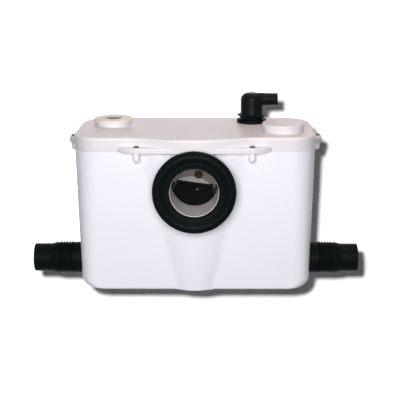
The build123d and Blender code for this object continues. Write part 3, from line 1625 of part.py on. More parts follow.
save("tank", make_tank())
save("lid", make_lid())
save("lid_gasket", make_gasket())
save("lid_screws", make_lid_screws())
save("inlet_pipe", make_inlet_pipe())
save("inlet_collar", make_collar())
save("flap_bar", make_flap_bar())
save("flap_shield", make_flap_shield())
save("flap_hinge_pin", make_hinge_pin())
save("inlet_flap", make_inlet_flap())
save("flap_rivet", make_flap_rivet())
save("flap_clamp_screw", make_clamp_screw())
for side_name, side_sign in (("left", -1), ("right", 1)):
    save(f"{side_name}_spigot", make_side_spigot(side_sign))
    save(f"{side_name}_side_flap", make_side_flap(side_sign))
    save(f"{side_name}_sleeve", make_sleeve(side_sign))
save("side_flap_pins", make_side_pins())
save("discharge_pipe", make_discharge_pipe())
save("outlet_grommet", make_grommet())
save("discharge_elbow", make_elbow())
save("valve_seat", make_valve_seat())
save("valve_pin", make_valve_pin())
save("valve_flap", make_valve_flap())
save("vent_cap", make_vent_cap())
save("carbon_filter", make_filter())
save("access_cap", make_access_cap())
save("cutter_basket", make_basket())
save("pump_casing", make_pump_casing())
save("outlet_coupling", make_coupling())
save("coupling_bands", make_coupling_bands())
save("seal_plate", make_seal_plate())
save("shaft_seal", make_shaft_seal())
save("motor_can", make_motor_can())
save("end_shields", make_end_shields())
save("shaft_bearings", make_bearings())
save("stator_core", make_stator())
save("stator_windings", make_windings())
save("rotor_core", make_rotor_core())
save("motor_shaft", make_shaft())
save("pump_impeller", make_impeller())
save("cutter_blade", make_cutter())
save("cutter_nut", make_cutter_nut())
save("motor_deck", make_deck())
save("deck_screws", make_deck_screws())
save("motor_bolts", make_motor_bolts())
save("run_capacitor", make_capacitor())
save("capacitor_clip", make_capacitor_clip())
save("terminal_block", make_terminal_block())
save("thermal_cutout", make_cutout())
save("pressure_bell", make_bell())
save("pressure_diaphragm", make_diaphragm())
save("switch_housing", make_switch_housing())
save("pressure_plunger", make_plunger())
save("plunger_spring", make_plunger_spring())
save("micro_switch", make_micro_switch())
save("cable_gland", make_gland())
save("gland_nut", make_gland_nut())
save("base_pads", make_pads())
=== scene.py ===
"""Finished look of a macerator toilet pump.

Moulded tank and lid, rubber collar and sleeves, caps, screws and the parts inside.
"""

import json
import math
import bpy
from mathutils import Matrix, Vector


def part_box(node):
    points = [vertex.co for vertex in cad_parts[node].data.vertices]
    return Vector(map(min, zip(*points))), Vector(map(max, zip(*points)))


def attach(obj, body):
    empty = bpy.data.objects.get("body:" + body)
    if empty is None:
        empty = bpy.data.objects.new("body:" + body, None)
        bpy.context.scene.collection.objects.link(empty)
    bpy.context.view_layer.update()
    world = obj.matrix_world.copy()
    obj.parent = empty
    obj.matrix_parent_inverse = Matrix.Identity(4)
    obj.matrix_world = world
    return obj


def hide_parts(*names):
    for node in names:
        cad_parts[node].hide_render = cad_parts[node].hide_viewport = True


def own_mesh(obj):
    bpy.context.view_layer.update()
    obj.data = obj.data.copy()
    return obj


bl_info = {
    "name": "Macerator toilet pump",
    "version": (1, 0, 0),
    "blender": (4, 5, 0),
    "location": "3D View > Sidebar > Toilet pump",
    "description": "Models and finishes the pieces of a macerator toilet pump",
    "category": "Object",
}

import bpy
from bpy.props import FloatProperty, FloatVectorProperty, IntProperty, PointerProperty
from mathutils import Matrix, Vector

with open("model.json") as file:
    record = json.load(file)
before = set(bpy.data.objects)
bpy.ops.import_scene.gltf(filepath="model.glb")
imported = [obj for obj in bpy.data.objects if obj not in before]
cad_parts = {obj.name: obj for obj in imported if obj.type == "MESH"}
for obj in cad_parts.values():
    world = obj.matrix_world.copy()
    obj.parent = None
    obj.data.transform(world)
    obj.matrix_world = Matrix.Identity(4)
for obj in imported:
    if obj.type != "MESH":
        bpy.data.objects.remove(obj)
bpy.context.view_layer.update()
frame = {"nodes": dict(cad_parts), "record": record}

TANK_BODY = "tank_unit"

# Tolerances of the mesh work, in metres and degrees
TURNED_MERGE = 0.000005
CAD_MERGE = 0.000004
CAD_FLAT_DEG = 0.3
AXIS_SLACK = 0.00001
START_SIZE = 0.001

# Screw lugs of the lid: height of a screw's head, slack of a level edge, and shortest edge that is rounded
SCREW_HEAD = 0.002
LEVEL_SLACK = 0.00005
LUG_EDGE_LEAST = 0.0016
LUG_SEGMENTS = 4


class PumpFinish(bpy.types.PropertyGroup):
    """Colours of the pump's plastics, rubber and metal; the lid and inlet pipe whites hold painted shade."""

    body_white: FloatVectorProperty(
        name="Tank white", description="Moulded plastic of the tank", subtype="COLOR",
        size=3, min=0, max=1, default=(0.865, 0.857, 0.91))
    # The lid's white is the tank's white darkened and warmed: painted shade and warm top light for the lid's
    # top
    lid_shaded_white: FloatVectorProperty(
        name="Lid white", description="Moulded plastic of the lid and access cap", subtype="COLOR",
        size=3, min=0, max=1, default=(0.75, 0.722, 0.735))
    vent_cream: FloatVectorProperty(
        name="Vent cream", description="Moulded plastic of the vent cap", subtype="COLOR",
        size=3, min=0, max=1, default=(0.78, 0.70, 0.61))
    # The inlet pipe's pinkish white is darkened as painted shade for the inside of the pipe
    inlet_shaded_white: FloatVectorProperty(
        name="Inlet pipe white", description="Moulded plastic of the toilet inlet pipe", subtype="COLOR",
        size=3, min=0, max=1, default=(0.70, 0.64, 0.65))
    rubber_black: FloatVectorProperty(
        name="Rubber black", description="Collar, sleeves, grommet and flaps", subtype="COLOR",
        size=3, min=0, max=1, default=(0.0035, 0.0062, 0.0062))
    screw_dark: FloatVectorProperty(
        name="Screw metal", description="Dark zinc of the lid screws", subtype="COLOR",
        size=3, min=0, max=1, default=(0.13, 0.12, 0.115))


class PumpSizes(bpy.types.PropertyGroup):
    """Sizes of the finished pieces, in metres."""

    lug_round: FloatProperty(
        name="Lug edge", description="Rounding of the screw lugs' top edges", unit="LENGTH",
        min=0.0001, max=0.004, default=0.0026)
    turned_steps: IntProperty(
        name="Steps round a turned piece", description="Facets round a turned piece",
        min=24, max=256, default=112)


class PumpStage(bpy.types.PropertyGroup):
    """Camera and light."""

    lens: FloatProperty(
        name="Lens", description="Focal length of the camera in millimetres", min=20, max=200,
        default=81.86)
    shadow_power: FloatProperty(
        name="Backdrop light", description="Power of the light that throws the shadow", unit="POWER",
        min=0, max=500, default=70)
    shadow_shift: FloatProperty(
        name="Shadow to the side", description="How far the backdrop light stands left of the camera",
        unit="LENGTH", min=0, max=1, default=0.045)
    shadow_drop: FloatProperty(
        name="Shadow downwards", description="How far the backdrop light stands over the camera",
        unit="LENGTH", min=0, max=1, default=0.046)
    key_power: FloatProperty(
        name="Front light", description="Power of the soft light by the camera", unit="POWER",
        min=0, max=500, default=26)
    top_power: FloatProperty(
        name="Top light", description="Power of the light over the lid", unit="POWER",
        min=0, max=500, default=9.6)
    ambient: FloatProperty(
        name="Room light", description="Strength of the even light from all sides", min=0, max=2,
        default=0.05)


def clear_selection():
    """Leave edit mode and select nothing."""
    if bpy.context.object and bpy.context.object.mode != "OBJECT":
        bpy.ops.object.mode_set(mode="OBJECT")
    bpy.ops.object.select_all(action="DESELECT")


def make_active(piece):
    """Select one piece alone."""
    clear_selection()
    piece.select_set(True)
    bpy.context.view_layer.objects.active = piece


def settle(piece):
    """Put the piece's place into its mesh, so that its object stands at the origin."""
    make_active(piece)
    bpy.ops.object.transform_apply(location=True, rotation=True, scale=True)


def point_outwards(piece):
    """Merge doubled points and turn all faces outwards."""
    make_active(piece)
    bpy.ops.object.mode_set(mode="EDIT")
    bpy.ops.mesh.select_all(action="SELECT")
    bpy.ops.mesh.remove_doubles(threshold=TURNED_MERGE)
    bpy.ops.mesh.normals_make_consistent(inside=False)
    bpy.ops.object.mode_set(mode="OBJECT")


def apply_modifier(piece, kind, **values):
    """Add a modifier with its values and apply it."""
    make_active(piece)
    modifier = piece.modifiers.new(kind.title(), kind)
    for key, value in values.items():
        setattr(modifier, key, value)
    bpy.ops.object.modifier_apply(modifier=modifier.name)


def soften(piece, angle_deg):
    """Smooth the piece's shading, but for edges sharper than the angle."""
    make_active(piece)
    bpy.ops.object.shade_smooth_by_angle(angle=math.radians(angle_deg))
    apply_modifier(piece, "WEIGHTED_NORMAL", keep_sharp=True, weight=50)


def arc(centre_r, centre_h, radius, start_deg, end_deg, count):
    """Points of an arc in an outline of (radius, height) points."""
    points = []
    for index in range(count + 1):
        angle = math.radians(start_deg + (end_deg - start_deg) * index / count)
        points.append((centre_r + radius * math.cos(angle), centre_h + radius * math.sin(angle)))
    return points


def raised(profile, height):
    """Outline points moved up by a height."""
    return [(radius, rise + height) for radius, rise in profile]


def outline_point(point, centre, axis):
    """Place of an outline point: axis is up, front, left or right."""
    radius, height = point
    x, y, z = centre
    return {
        "up": Vector((x + radius, y, z + height)),
        "front": Vector((x + radius, y - height, z)),
        "right": Vector((x + height, y, z + radius)),
        "left": Vector((x - height, y, z + radius)),
    }[axis]


def turn_piece(name, outline, centre, axis, steps):
    """Extrude an outline from one point and spin it round an axis."""
    places = [outline_point(point, centre, axis) for point in outline]
    clear_selection()
    bpy.ops.mesh.primitive_plane_add(size=START_SIZE, location=places[0])
    piece = bpy.context.object
    piece.name = name
    piece.data.name = name
    bpy.ops.object.mode_set(mode="EDIT")
    bpy.ops.mesh.select_all(action="SELECT")
    bpy.ops.mesh.merge(type="CENTER")
    for here, there in zip(places, places[1:]):
        bpy.ops.mesh.extrude_region_move(TRANSFORM_OT_translate={"value": there - here})
    if outline[0][0] > AXIS_SLACK and outline[-1][0] > AXIS_SLACK:
        bpy.ops.mesh.extrude_region_move(TRANSFORM_OT_translate={"value": places[0] - places[-1]})
    bpy.ops.mesh.select_all(action="SELECT")
    direction = {"up": (0, 0, 1), "front": (0, 1, 0), "right": (1, 0, 0), "left": (1, 0, 0)}[axis]
    bpy.ops.mesh.spin(steps=steps, angle=math.tau, center=centre, axis=direction)
    bpy.ops.object.mode_set(mode="OBJECT")
    settle(piece)
    point_outwards(piece)
    return piece


def merged_copy(node, name):
    """Copy of a CAD node's mesh with its loose triangles joined and its flat faces dissolved."""
    mesh = frame["nodes"][node].data.copy()
    piece = bpy.data.objects.new(name, mesh)
    mesh.name = name
    bpy.context.scene.collection.objects.link(piece)
    mesh.materials.clear()
    make_active(piece)
    bpy.ops.object.mode_set(mode="EDIT")
    bpy.ops.mesh.select_all(action="SELECT")
    bpy.ops.mesh.remove_doubles(threshold=CAD_MERGE)
    bpy.ops.mesh.dissolve_limited(angle_limit=math.radians(CAD_FLAT_DEG))
    bpy.ops.object.mode_set(mode="OBJECT")
    return piece


def add_node(tree, kind, place, **values):
    """Shader node with its settings."""
    node = tree.nodes.new(kind)
    node.location = place
    for key, value in values.items():
        setattr(node, key, value)
    return node


def new_group(name, inputs, outputs):
    """Shader node group with named sockets."""
    tree = bpy.data.node_groups.new(name, "ShaderNodeTree")
    for label, kind, default in inputs:
        socket = tree.interface.new_socket(name=label, in_out="INPUT", socket_type=kind)
        socket.default_value = default
    for label, kind in outputs:
        tree.interface.new_socket(name=label, in_out="OUTPUT", socket_type=kind)
    entry = add_node(tree, "NodeGroupInput", (-900, 0))
    result = add_node(tree, "NodeGroupOutput", (700, 0))
    return tree, entry, result


def feed(tree, socket, value):
    """Set a socket to a number, or link another node's output to it."""
    if isinstance(value, (int, float)):
        socket.default_value = value
    else:
        tree.links.new(value, socket)


def noise(tree, place, source, scale, detail):
    """Noise texture on the object's own coordinates."""
    texture = add_node(tree, "ShaderNodeTexNoise", place)
    texture.inputs["Detail"].default_value = detail
    feed(tree, texture.inputs["Scale"], scale)
    tree.links.new(source, texture.inputs["Vector"])
    return texture.outputs["Fac"]


def remap(tree, place, source, low, high, out_low=0.0, out_high=1.0):
    """Map a value's range on to another, ends held."""
    node = add_node(tree, "ShaderNodeMapRange", place)
    node.inputs["From Min"].default_value = low
    node.inputs["From Max"].default_value = high
    feed(tree, node.inputs["To Min"], out_low)
    feed(tree, node.inputs["To Max"], out_high)
    tree.links.new(source, node.inputs["Value"])
    return node.outputs["Result"]


def mix_colour(tree, place, factor, first, second):
    """Mix two colours by a factor."""
    first_colour, second_colour, mixed_colour = 6, 7, 2
    node = add_node(tree, "ShaderNodeMix", place, data_type="RGBA")
    tree.links.new(factor, node.inputs["Factor"])
    tree.links.new(first, node.inputs[first_colour])
    tree.links.new(second, node.inputs[second_colour])
    return node.outputs[mixed_colour]


def calculate(tree, place, operation, first, second):
    """Sum, product or larger of two values, each a socket or a number."""
    node = add_node(tree, "ShaderNodeMath", place, operation=operation)
    for index, value in enumerate((first, second)):
        feed(tree, node.inputs[index], value)
    return node.outputs[0]


def moulded_group():
    """Moulded plastic: slight clouding, flow marks, settled dust on upward faces and a fine grain."""
    tree, entry, result = new_group(
        "Moulded surface",
        [("Colour", "NodeSocketColor", (0.8, 0.8, 0.8, 1)),
         ("Cloud colour", "NodeSocketColor", (0.7, 0.7, 0.7, 1)),
         ("Dust colour", "NodeSocketColor", (0.6, 0.55, 0.5, 1)),
         ("Cloud", "NodeSocketFloat", 0.5),
         ("Dust", "NodeSocketFloat", 0.2),
         ("Grain scale", "NodeSocketFloat", 900.0),
         ("Rough low", "NodeSocketFloat", 0.3),
         ("Rough high", "NodeSocketFloat", 0.45)],
        [("Colour", "NodeSocketColor"), ("Roughness", "NodeSocketFloat"), ("Height", "NodeSocketFloat")])
    wear_rough = 0.5
    broad_height = 3.0
    place = add_node(tree, "ShaderNodeTexCoord", (-900, -300)).outputs["Object"]
    cloud = noise(tree, (-700, 200), place, scale=9.0, detail=4.0)
    cloud = remap(tree, (-500, 200), cloud, low=0.35, high=0.72)
    cloud = calculate(tree, (-300, 200), "MULTIPLY", cloud, entry.outputs["Cloud"])
    colour = mix_colour(tree, (-100, 250), cloud, entry.outputs["Colour"], entry.outputs["Cloud colour"])
    normal = add_node(tree, "ShaderNodeTexCoord", (-900, -600)).outputs["Normal"]
    split = add_node(tree, "ShaderNodeSeparateXYZ", (-700, -600))
    tree.links.new(normal, split.inputs[0])
    upward = remap(tree, (-500, -600), split.outputs["Z"], low=0.55, high=1.0)
    specks = noise(tree, (-700, -200), place, scale=60.0, detail=6.0)
    specks = remap(tree, (-500, -200), specks, low=0.42, high=0.75)
    dust = calculate(tree, (-300, -400), "MULTIPLY", upward, specks)
    dust = calculate(tree, (-100, -400), "MULTIPLY", dust, entry.outputs["Dust"])
    colour = mix_colour(tree, (150, 150), dust, colour, entry.outputs["Dust colour"])
    wipe = noise(tree, (-700, 0), place, scale=22.0, detail=3.0)
    rough = remap(tree, (-100, -100), wipe, low=0.3, high=0.7,
                  out_low=entry.outputs["Rough low"], out_high=entry.outputs["Rough high"])
    dusty = calculate(tree, (50, -300), "MULTIPLY", dust, wear_rough)
    rough = calculate(tree, (150, -150), "ADD", rough, dusty)
    grain = noise(tree, (-300, -700), place, scale=entry.outputs["Grain scale"], detail=2.0)
    broad = noise(tree, (-300, -900), place, scale=35.0, detail=2.0)
    broad = calculate(tree, (0, -900), "MULTIPLY", broad, broad_height)
    height = calculate(tree, (150, -700), "ADD", grain, broad)
    tree.links.new(colour, result.inputs["Colour"])
    tree.links.new(rough, result.inputs["Roughness"])
    tree.links.new(height, result.inputs["Height"])
    return tree


def rubber_group():
    """Rubber: grey bloom in patches, rubbed lighter spots and a fine pebbled skin."""
    tree, entry, result = new_group(
        "Rubber surface",
        [("Colour", "NodeSocketColor", (0.02, 0.02, 0.02, 1)),
         ("Bloom colour", "NodeSocketColor", (0.08, 0.09, 0.09, 1)),
         ("Bloom", "NodeSocketFloat", 0.4),
         ("Grain scale", "NodeSocketFloat", 1500.0)],
        [("Colour", "NodeSocketColor"), ("Roughness", "NodeSocketFloat"), ("Height", "NodeSocketFloat")])
    place = add_node(tree, "ShaderNodeTexCoord", (-900, -300)).outputs["Object"]
    bloom = noise(tree, (-700, 200), place, scale=38.0, detail=5.0)
    bloom = remap(tree, (-500, 200), bloom, low=0.45, high=0.8)
    bloom = calculate(tree, (-300, 200), "MULTIPLY", bloom, entry.outputs["Bloom"])
    colour = mix_colour(tree, (-50, 200), bloom, entry.outputs["Colour"], entry.outputs["Bloom colour"])
    rough = noise(tree, (-700, -100), place, scale=55.0, detail=3.0)
    rough = remap(tree, (-300, -100), rough, low=0.3, high=0.7, out_low=0.36, out_high=0.52)
    height = noise(tree, (-300, -400), place, scale=entry.outputs["Grain scale"], detail=3.0)
    tree.links.new(colour, result.inputs["Colour"])
    tree.links.new(rough, result.inputs["Roughness"])
    tree.links.new(height, result.inputs["Height"])
    return tree


def metal_group():
    """Metal: drawn streaks, dull patches and small pits."""
    tree, entry, result = new_group(
        "Metal surface",
        [("Colour", "NodeSocketColor", (0.5, 0.5, 0.5, 1)),
         ("Dull colour", "NodeSocketColor", (0.3, 0.3, 0.3, 1)),
         ("Dull", "NodeSocketFloat", 0.5),
         ("Streak scale", "NodeSocketFloat", 400.0),
         ("Rough low", "NodeSocketFloat", 0.25),
         ("Rough high", "NodeSocketFloat", 0.45)],
        [("Colour", "NodeSocketColor"), ("Roughness", "NodeSocketFloat"), ("Height", "NodeSocketFloat")])
    place = add_node(tree, "ShaderNodeTexCoord", (-1100, -300)).outputs["Object"]
    stretch = add_node(tree, "ShaderNodeMapping", (-900, -300))
    stretch.inputs["Scale"].default_value = (1.0, 1.0, 0.08)
    tree.links.new(place, stretch.inputs["Vector"])
    dull = noise(tree, (-700, 200), place, scale=90.0, detail=5.0)
    dull = remap(tree, (-500, 200), dull, low=0.4, high=0.75)
    dull = calculate(tree, (-300, 200), "MULTIPLY", dull, entry.outputs["Dull"])
    colour = mix_colour(tree, (-50, 200), dull, entry.outputs["Colour"], entry.outputs["Dull colour"])
    streak = noise(tree, (-500, -300), stretch.outputs[0], scale=entry.outputs["Streak scale"], detail=3.0)
    rough = remap(tree, (-200, -100), streak, low=0.3, high=0.7,
                  out_low=entry.outputs["Rough low"], out_high=entry.outputs["Rough high"])
    tree.links.new(colour, result.inputs["Colour"])
    tree.links.new(rough, result.inputs["Roughness"])
    tree.links.new(streak, result.inputs["Height"])
    return tree


RELIEF_DEPTH = 0.0002
PLASTIC_GRAIN = 1100.0
CLOUD_SHADE = 0.93


def finished_material(name, group, values, bump, metallic=0.0, level=0.5):
    """Material with one Principled shader fed by a surface group."""
    material = bpy.data.materials.new(name)
    material.use_nodes = True
    tree = material.node_tree
    tree.nodes.clear()
    output = add_node(tree, "ShaderNodeOutputMaterial", (600, 0))
    shader = add_node(tree, "ShaderNodeBsdfPrincipled", (300, 0))
    surface = add_node(tree, "ShaderNodeGroup", (-200, 0))
    surface.node_tree = group
    for label, value in values.items():
        surface.inputs[label].default_value = value
    relief = add_node(tree, "ShaderNodeBump", (50, -250))
    relief.inputs["Strength"].default_value = bump
    relief.inputs["Distance"].default_value = RELIEF_DEPTH
    shader.inputs["Metallic"].default_value = metallic
    shader.inputs["Specular IOR Level"].default_value = level
    tree.links.new(surface.outputs["Colour"], shader.inputs["Base Color"])
    tree.links.new(surface.outputs["Roughness"], shader.inputs["Roughness"])
    tree.links.new(surface.outputs["Height"], relief.inputs["Height"])
    tree.links.new(relief.outputs[0], shader.inputs["Normal"])
    tree.links.new(shader.outputs[0], output.inputs["Surface"])
    return material


def full(colour, factor=1.0):
    """Colour with alpha, its brightness scaled."""
    return (min(colour[0] * factor, 1), min(colour[1] * factor, 1), min(colour[2] * factor, 1), 1)


def make_materials():
    """Every finish of the pump."""
    look = bpy.context.scene.pump_finish
    moulded = moulded_group()
    rubber = rubber_group()
    metal = metal_group()
    dust = (0.52, 0.46, 0.42, 1)

    def plastic(name, colour, cloud=0.2, settled=0.02, rough=(0.38, 0.46), bump=0.05, level=0.5):
        return finished_material(name, moulded, {
            "Colour": full(colour), "Cloud colour": full(colour, CLOUD_SHADE), "Dust colour": dust,
            "Cloud": cloud, "Dust": settled, "Grain scale": PLASTIC_GRAIN,
            "Rough low": rough[0], "Rough high": rough[1]}, bump=bump, level=level)

    def metallic(name, colour, dull, rough=(0.22, 0.42)):
        return finished_material(name, metal, {
            "Colour": full(colour), "Dull colour": full(dull), "Dull": 0.5,
            "Rough low": rough[0], "Rough high": rough[1]}, bump=0.08, metallic=1.0)

    return {
        "body": plastic("Tank white plastic", look.body_white),
        # Lid and access cap: the tank's white darkened and warmed, painted shade for the lid's top
        "lid": plastic("Lid shaded white plastic", look.lid_shaded_white),
        # Flap shield: its dark brown-grey is painted shade for the shaded top inside the inlet pipe
        "shield": plastic("Flap shield painted shade plastic", (0.135, 0.108, 0.092), cloud=0.4, rough=(0.4, 0.55)),
        # Inlet pipe: pinkish white darkened, painted shade for the inside of the pipe
        "inlet": plastic("Inlet pipe shaded plastic", look.inlet_shaded_white),
        # Flap bar: its white is darkened to grey as painted shade inside the inlet pipe
        "bar": plastic("Flap bar shaded plastic", (0.25, 0.235, 0.225), rough=(0.4, 0.55)),
        "cream": plastic("Vent cream plastic", look.vent_cream, rough=(0.36, 0.48)),
        "grey": plastic("Grey moulded plastic", (0.36, 0.37, 0.38), rough=(0.35, 0.5), bump=0.12),
        "hub": plastic("Vent hub plastic", (0.11, 0.107, 0.095), rough=(0.4, 0.55), bump=0.12),
        "black": plastic("Black moulded plastic", (0.004, 0.0065, 0.0065), settled=0.0, rough=(0.34, 0.46),
                         level=0.08),
        "foam": plastic("Carbon foam", (0.035, 0.035, 0.036), rough=(0.8, 0.95), bump=0.9),
        "rubber": finished_material("Black rubber", rubber, {
            "Colour": full(look.rubber_black), "Bloom colour": (0.008, 0.012, 0.012, 1), "Bloom": 0.3},
            bump=0.1, level=0.035),
        "flap": finished_material("Flap rubber", rubber, {
            "Colour": (0.003, 0.0035, 0.0035, 1), "Bloom colour": (0.009, 0.009, 0.008, 1), "Bloom": 0.4},
            bump=0.18, level=0.03),
        "screw": metallic("Dark screw metal", look.screw_dark, (0.05, 0.045, 0.04), rough=(0.3, 0.5)),
        "steel": metallic("Bright steel", (0.56, 0.56, 0.55), (0.35, 0.34, 0.33)),
        "brass": metallic("Dull brass", (0.022, 0.018, 0.008), (0.012, 0.008, 0.004), rough=(0.35, 0.5)),
        "aluminium": metallic("Cast aluminium", (0.62, 0.63, 0.64), (0.4, 0.4, 0.41), rough=(0.35, 0.55)),
        "copper": metallic("Varnished copper wire", (0.50, 0.20, 0.08), (0.22, 0.07, 0.03)),
        "motor": plastic("Motor paint", (0.12, 0.135, 0.155), rough=(0.3, 0.45)),
    }


NODE_FINISH = {
    "tank": "body", "lid": "lid", "lid_gasket": "rubber", "lid_screws": "screw", "inlet_pipe": "inlet",
    "inlet_collar": "rubber", "flap_bar": "bar", "flap_shield": "shield", "flap_hinge_pin": "steel",
    "inlet_flap": "flap",
    "flap_rivet": "screw", "flap_clamp_screw": "brass", "left_spigot": "grey", "right_spigot": "grey",
    "left_side_flap": "flap", "right_side_flap": "flap", "left_sleeve": "rubber", "right_sleeve": "rubber",
    "side_flap_pins": "steel", "discharge_pipe": "grey", "outlet_grommet": "rubber",
    "discharge_elbow": "black", "valve_seat": "grey", "valve_pin": "steel", "valve_flap": "flap",
    "vent_cap": "cream", "carbon_filter": "foam", "access_cap": "lid", "cutter_basket": "grey",
    "pump_casing": "grey", "outlet_coupling": "rubber", "coupling_bands": "steel", "seal_plate": "grey",
    "shaft_seal": "rubber", "motor_can": "motor", "end_shields": "aluminium", "shaft_bearings": "steel",
    "stator_core": "steel", "stator_windings": "copper", "rotor_core": "steel", "motor_shaft": "steel",
    "pump_impeller": "grey", "cutter_blade": "steel", "cutter_nut": "steel", "motor_deck": "grey",
    "deck_screws": "steel", "motor_bolts": "steel", "run_capacitor": "aluminium", "capacitor_clip": "steel",
    "terminal_block": "cream", "thermal_cutout": "black", "pressure_bell": "grey",
    "pressure_diaphragm": "rubber", "switch_housing": "grey", "pressure_plunger": "cream",
    "plunger_spring": "steel", "micro_switch": "black", "cable_gland": "black", "gland_nut": "black",
    "base_pads": "rubber",
}
FINISHES = {}


def dress(piece, finish):
    """Give a piece one finish."""
    piece.data.materials.clear()
    piece.data.materials.append(FINISHES[finish])


def stand_for(piece, node, body, finish):
    """Dress a finished piece, let it ride on its body and show it in place of a CAD node."""
    dress(piece, finish)
    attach(piece, body)
    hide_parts(node)


class PUMP_OT_finishes(bpy.types.Operator):
    """Make the finishes and give one to every piece of the frame"""

    bl_idname = "pump.finishes"
    bl_label = "Finishes"

    def execute(self, context):
        FINISHES.update(make_materials())
        for name, node in frame["nodes"].items():
            dress(node, NODE_FINISH[name])
        return {"FINISHED"}


class PUMP_OT_tank(bpy.types.Operator):
    """Smooth the shading of the moulded tank"""

    bl_idname = "pump.tank"
    bl_label = "Tank"

    def execute(self, context):
        tank = merged_copy("tank", "tank_shell")
        soften(tank, angle_deg=20)
        stand_for(tank, "tank", TANK_BODY, "body")
        return {"FINISHED"}


def round_lugs(lid, width):
    """Round the outer edges of the screw lugs' tops."""
    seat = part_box("lid_screws")[1].z - SCREW_HEAD
    corners = [vertex.co.z for vertex in lid.data.vertices]
    beside = {}
    for face in lid.data.polygons:
        for key in face.edge_keys:
            beside.setdefault(key, []).append(face.center.z)
    make_active(lid)
    bpy.ops.object.mode_set(mode="EDIT")
    bpy.ops.mesh.select_mode(type="EDGE")
    bpy.ops.mesh.select_all(action="DESELECT")
    bpy.ops.object.mode_set(mode="OBJECT")
    for edge in lid.data.edges:
        start, end = edge.vertices
        level = abs(corners[start] - seat) < LEVEL_SLACK and abs(corners[end] - seat) < LEVEL_SLACK
        below = max(beside[edge.key]) < seat + LEVEL_SLACK
        length = (lid.data.vertices[start].co - lid.data.vertices[end].co).length
        edge.select = level and below and length > LUG_EDGE_LEAST
    bpy.ops.object.mode_set(mode="EDIT")
    bpy.ops.mesh.bevel(offset=width, segments=LUG_SEGMENTS, clamp_overlap=False)
    bpy.ops.mesh.select_mode(type="VERT")
    bpy.ops.object.mode_set(mode="OBJECT")


class PUMP_OT_lid(bpy.types.Operator):
    """Round the lid's screw lugs and smooth its shading"""

    bl_idname = "pump.lid"
    bl_label = "Lid"

    def execute(self, context):
        lid = merged_copy("lid", "lid_shell")
        round_lugs(lid, context.scene.pump_sizes.lug_round)
        soften(lid, angle_deg=25)
        stand_for(lid, "lid", TANK_BODY, "lid")
        return {"FINISHED"}


# Collar: radii, outline points of (radius, place in front), and arcs of (radius, place in front, arc radius)
COLLAR_SEAT = 0.0432
COLLAR_BODY = 0.057
COLLAR_EDGE = 0.001
COLLAR_NECK = [(COLLAR_BODY, 0.1154), (0.0582, 0.1163)]
COLLAR_BEAD = (0.0595, 0.1252, 0.009)
COLLAR_DIP = [(0.0512, 0.1306)]
COLLAR_RIDGE = (0.0485, 0.1275, 0.0026)
COLLAR_LIP = (0.0420, 0.1285, 0.0016)
COLLAR_LIP_BACK = [(0.0404, 0.1262), (0.0406, 0.1250), (COLLAR_SEAT, 0.1248)]


class PUMP_OT_collar(bpy.types.Operator):
    """Turn the rubber collar of the toilet inlet"""

    bl_idname = "pump.collar"
    bl_label = "Toilet inlet collar"

    def execute(self, context):
        steps = context.scene.pump_sizes.turned_steps
        low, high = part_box("inlet_collar")
        centre = (0, 0, (low.z + high.z) / 2)
        back = -high.y
        outline = [(COLLAR_SEAT, back), (COLLAR_BODY - COLLAR_EDGE / 2, back)]
        outline += arc(COLLAR_BODY - COLLAR_EDGE, back + COLLAR_EDGE, COLLAR_EDGE, -60, 0, 3)
        outline += COLLAR_NECK
        outline += arc(*COLLAR_BEAD, -78, 128, 30)
        outline += COLLAR_DIP
        outline += arc(*COLLAR_RIDGE, 60, 120, 4)
        outline += arc(*COLLAR_LIP, 30, 180, 8)
        outline += COLLAR_LIP_BACK
        collar = turn_piece("collar_rubber", outline, centre, "front", steps)
        soften(collar, angle_deg=40)
        stand_for(collar, "inlet_collar", TANK_BODY, "rubber")
        return {"FINISHED"}


# Sleeves: radii and lengths, and outline points of (radius, distance outwards)
SLEEVE_BORE = 0.0203
SLEEVE_SEAT = 0.02306
SLEEVE_SEAT_DEPTH = 0.0205
SLEEVE_CUFF = 0.027
SLEEVE_CUFF_EDGE = 0.0004
SLEEVE_CUFF_LENGTH = 0.0175
SLEEVE_CUFF_END = ((SLEEVE_CUFF, -0.001), (0.0262, 0))
SLEEVE_RIBS = 5
SLEEVE_RIB_PITCH = 0.005
SLEEVE_VALLEY = 0.0256
SLEEVE_RIB_FOOT = 0.0019
SLEEVE_RIB_CENTRE = 0.0268
SLEEVE_RIB = 0.001
SLEEVE_SWELL_START = ((0.0258, 0.0004),)
SLEEVE_SWELL = (0.0245, 0.0027, 0.0025)
SLEEVE_SWELL_END = ((0.0266, 0.0052), (0.0262, 0.0064), (0.0248, 0.0115), (0.0243, 0.0125))
SLEEVE_SWELL_LENGTH = 0.0125
SLEEVE_RIDGE_SHARES = (0.25, 0.5)
SLEEVE_RIDGE = ((0.0242, -0.0014), (0.0246, -0.0005), (0.0246, 0.0005), (0.0242, 0.0014))
SLEEVE_END = 0.0242
SLEEVE_END_LENGTH = 0.03
SLEEVE_EDGE = 0.0006


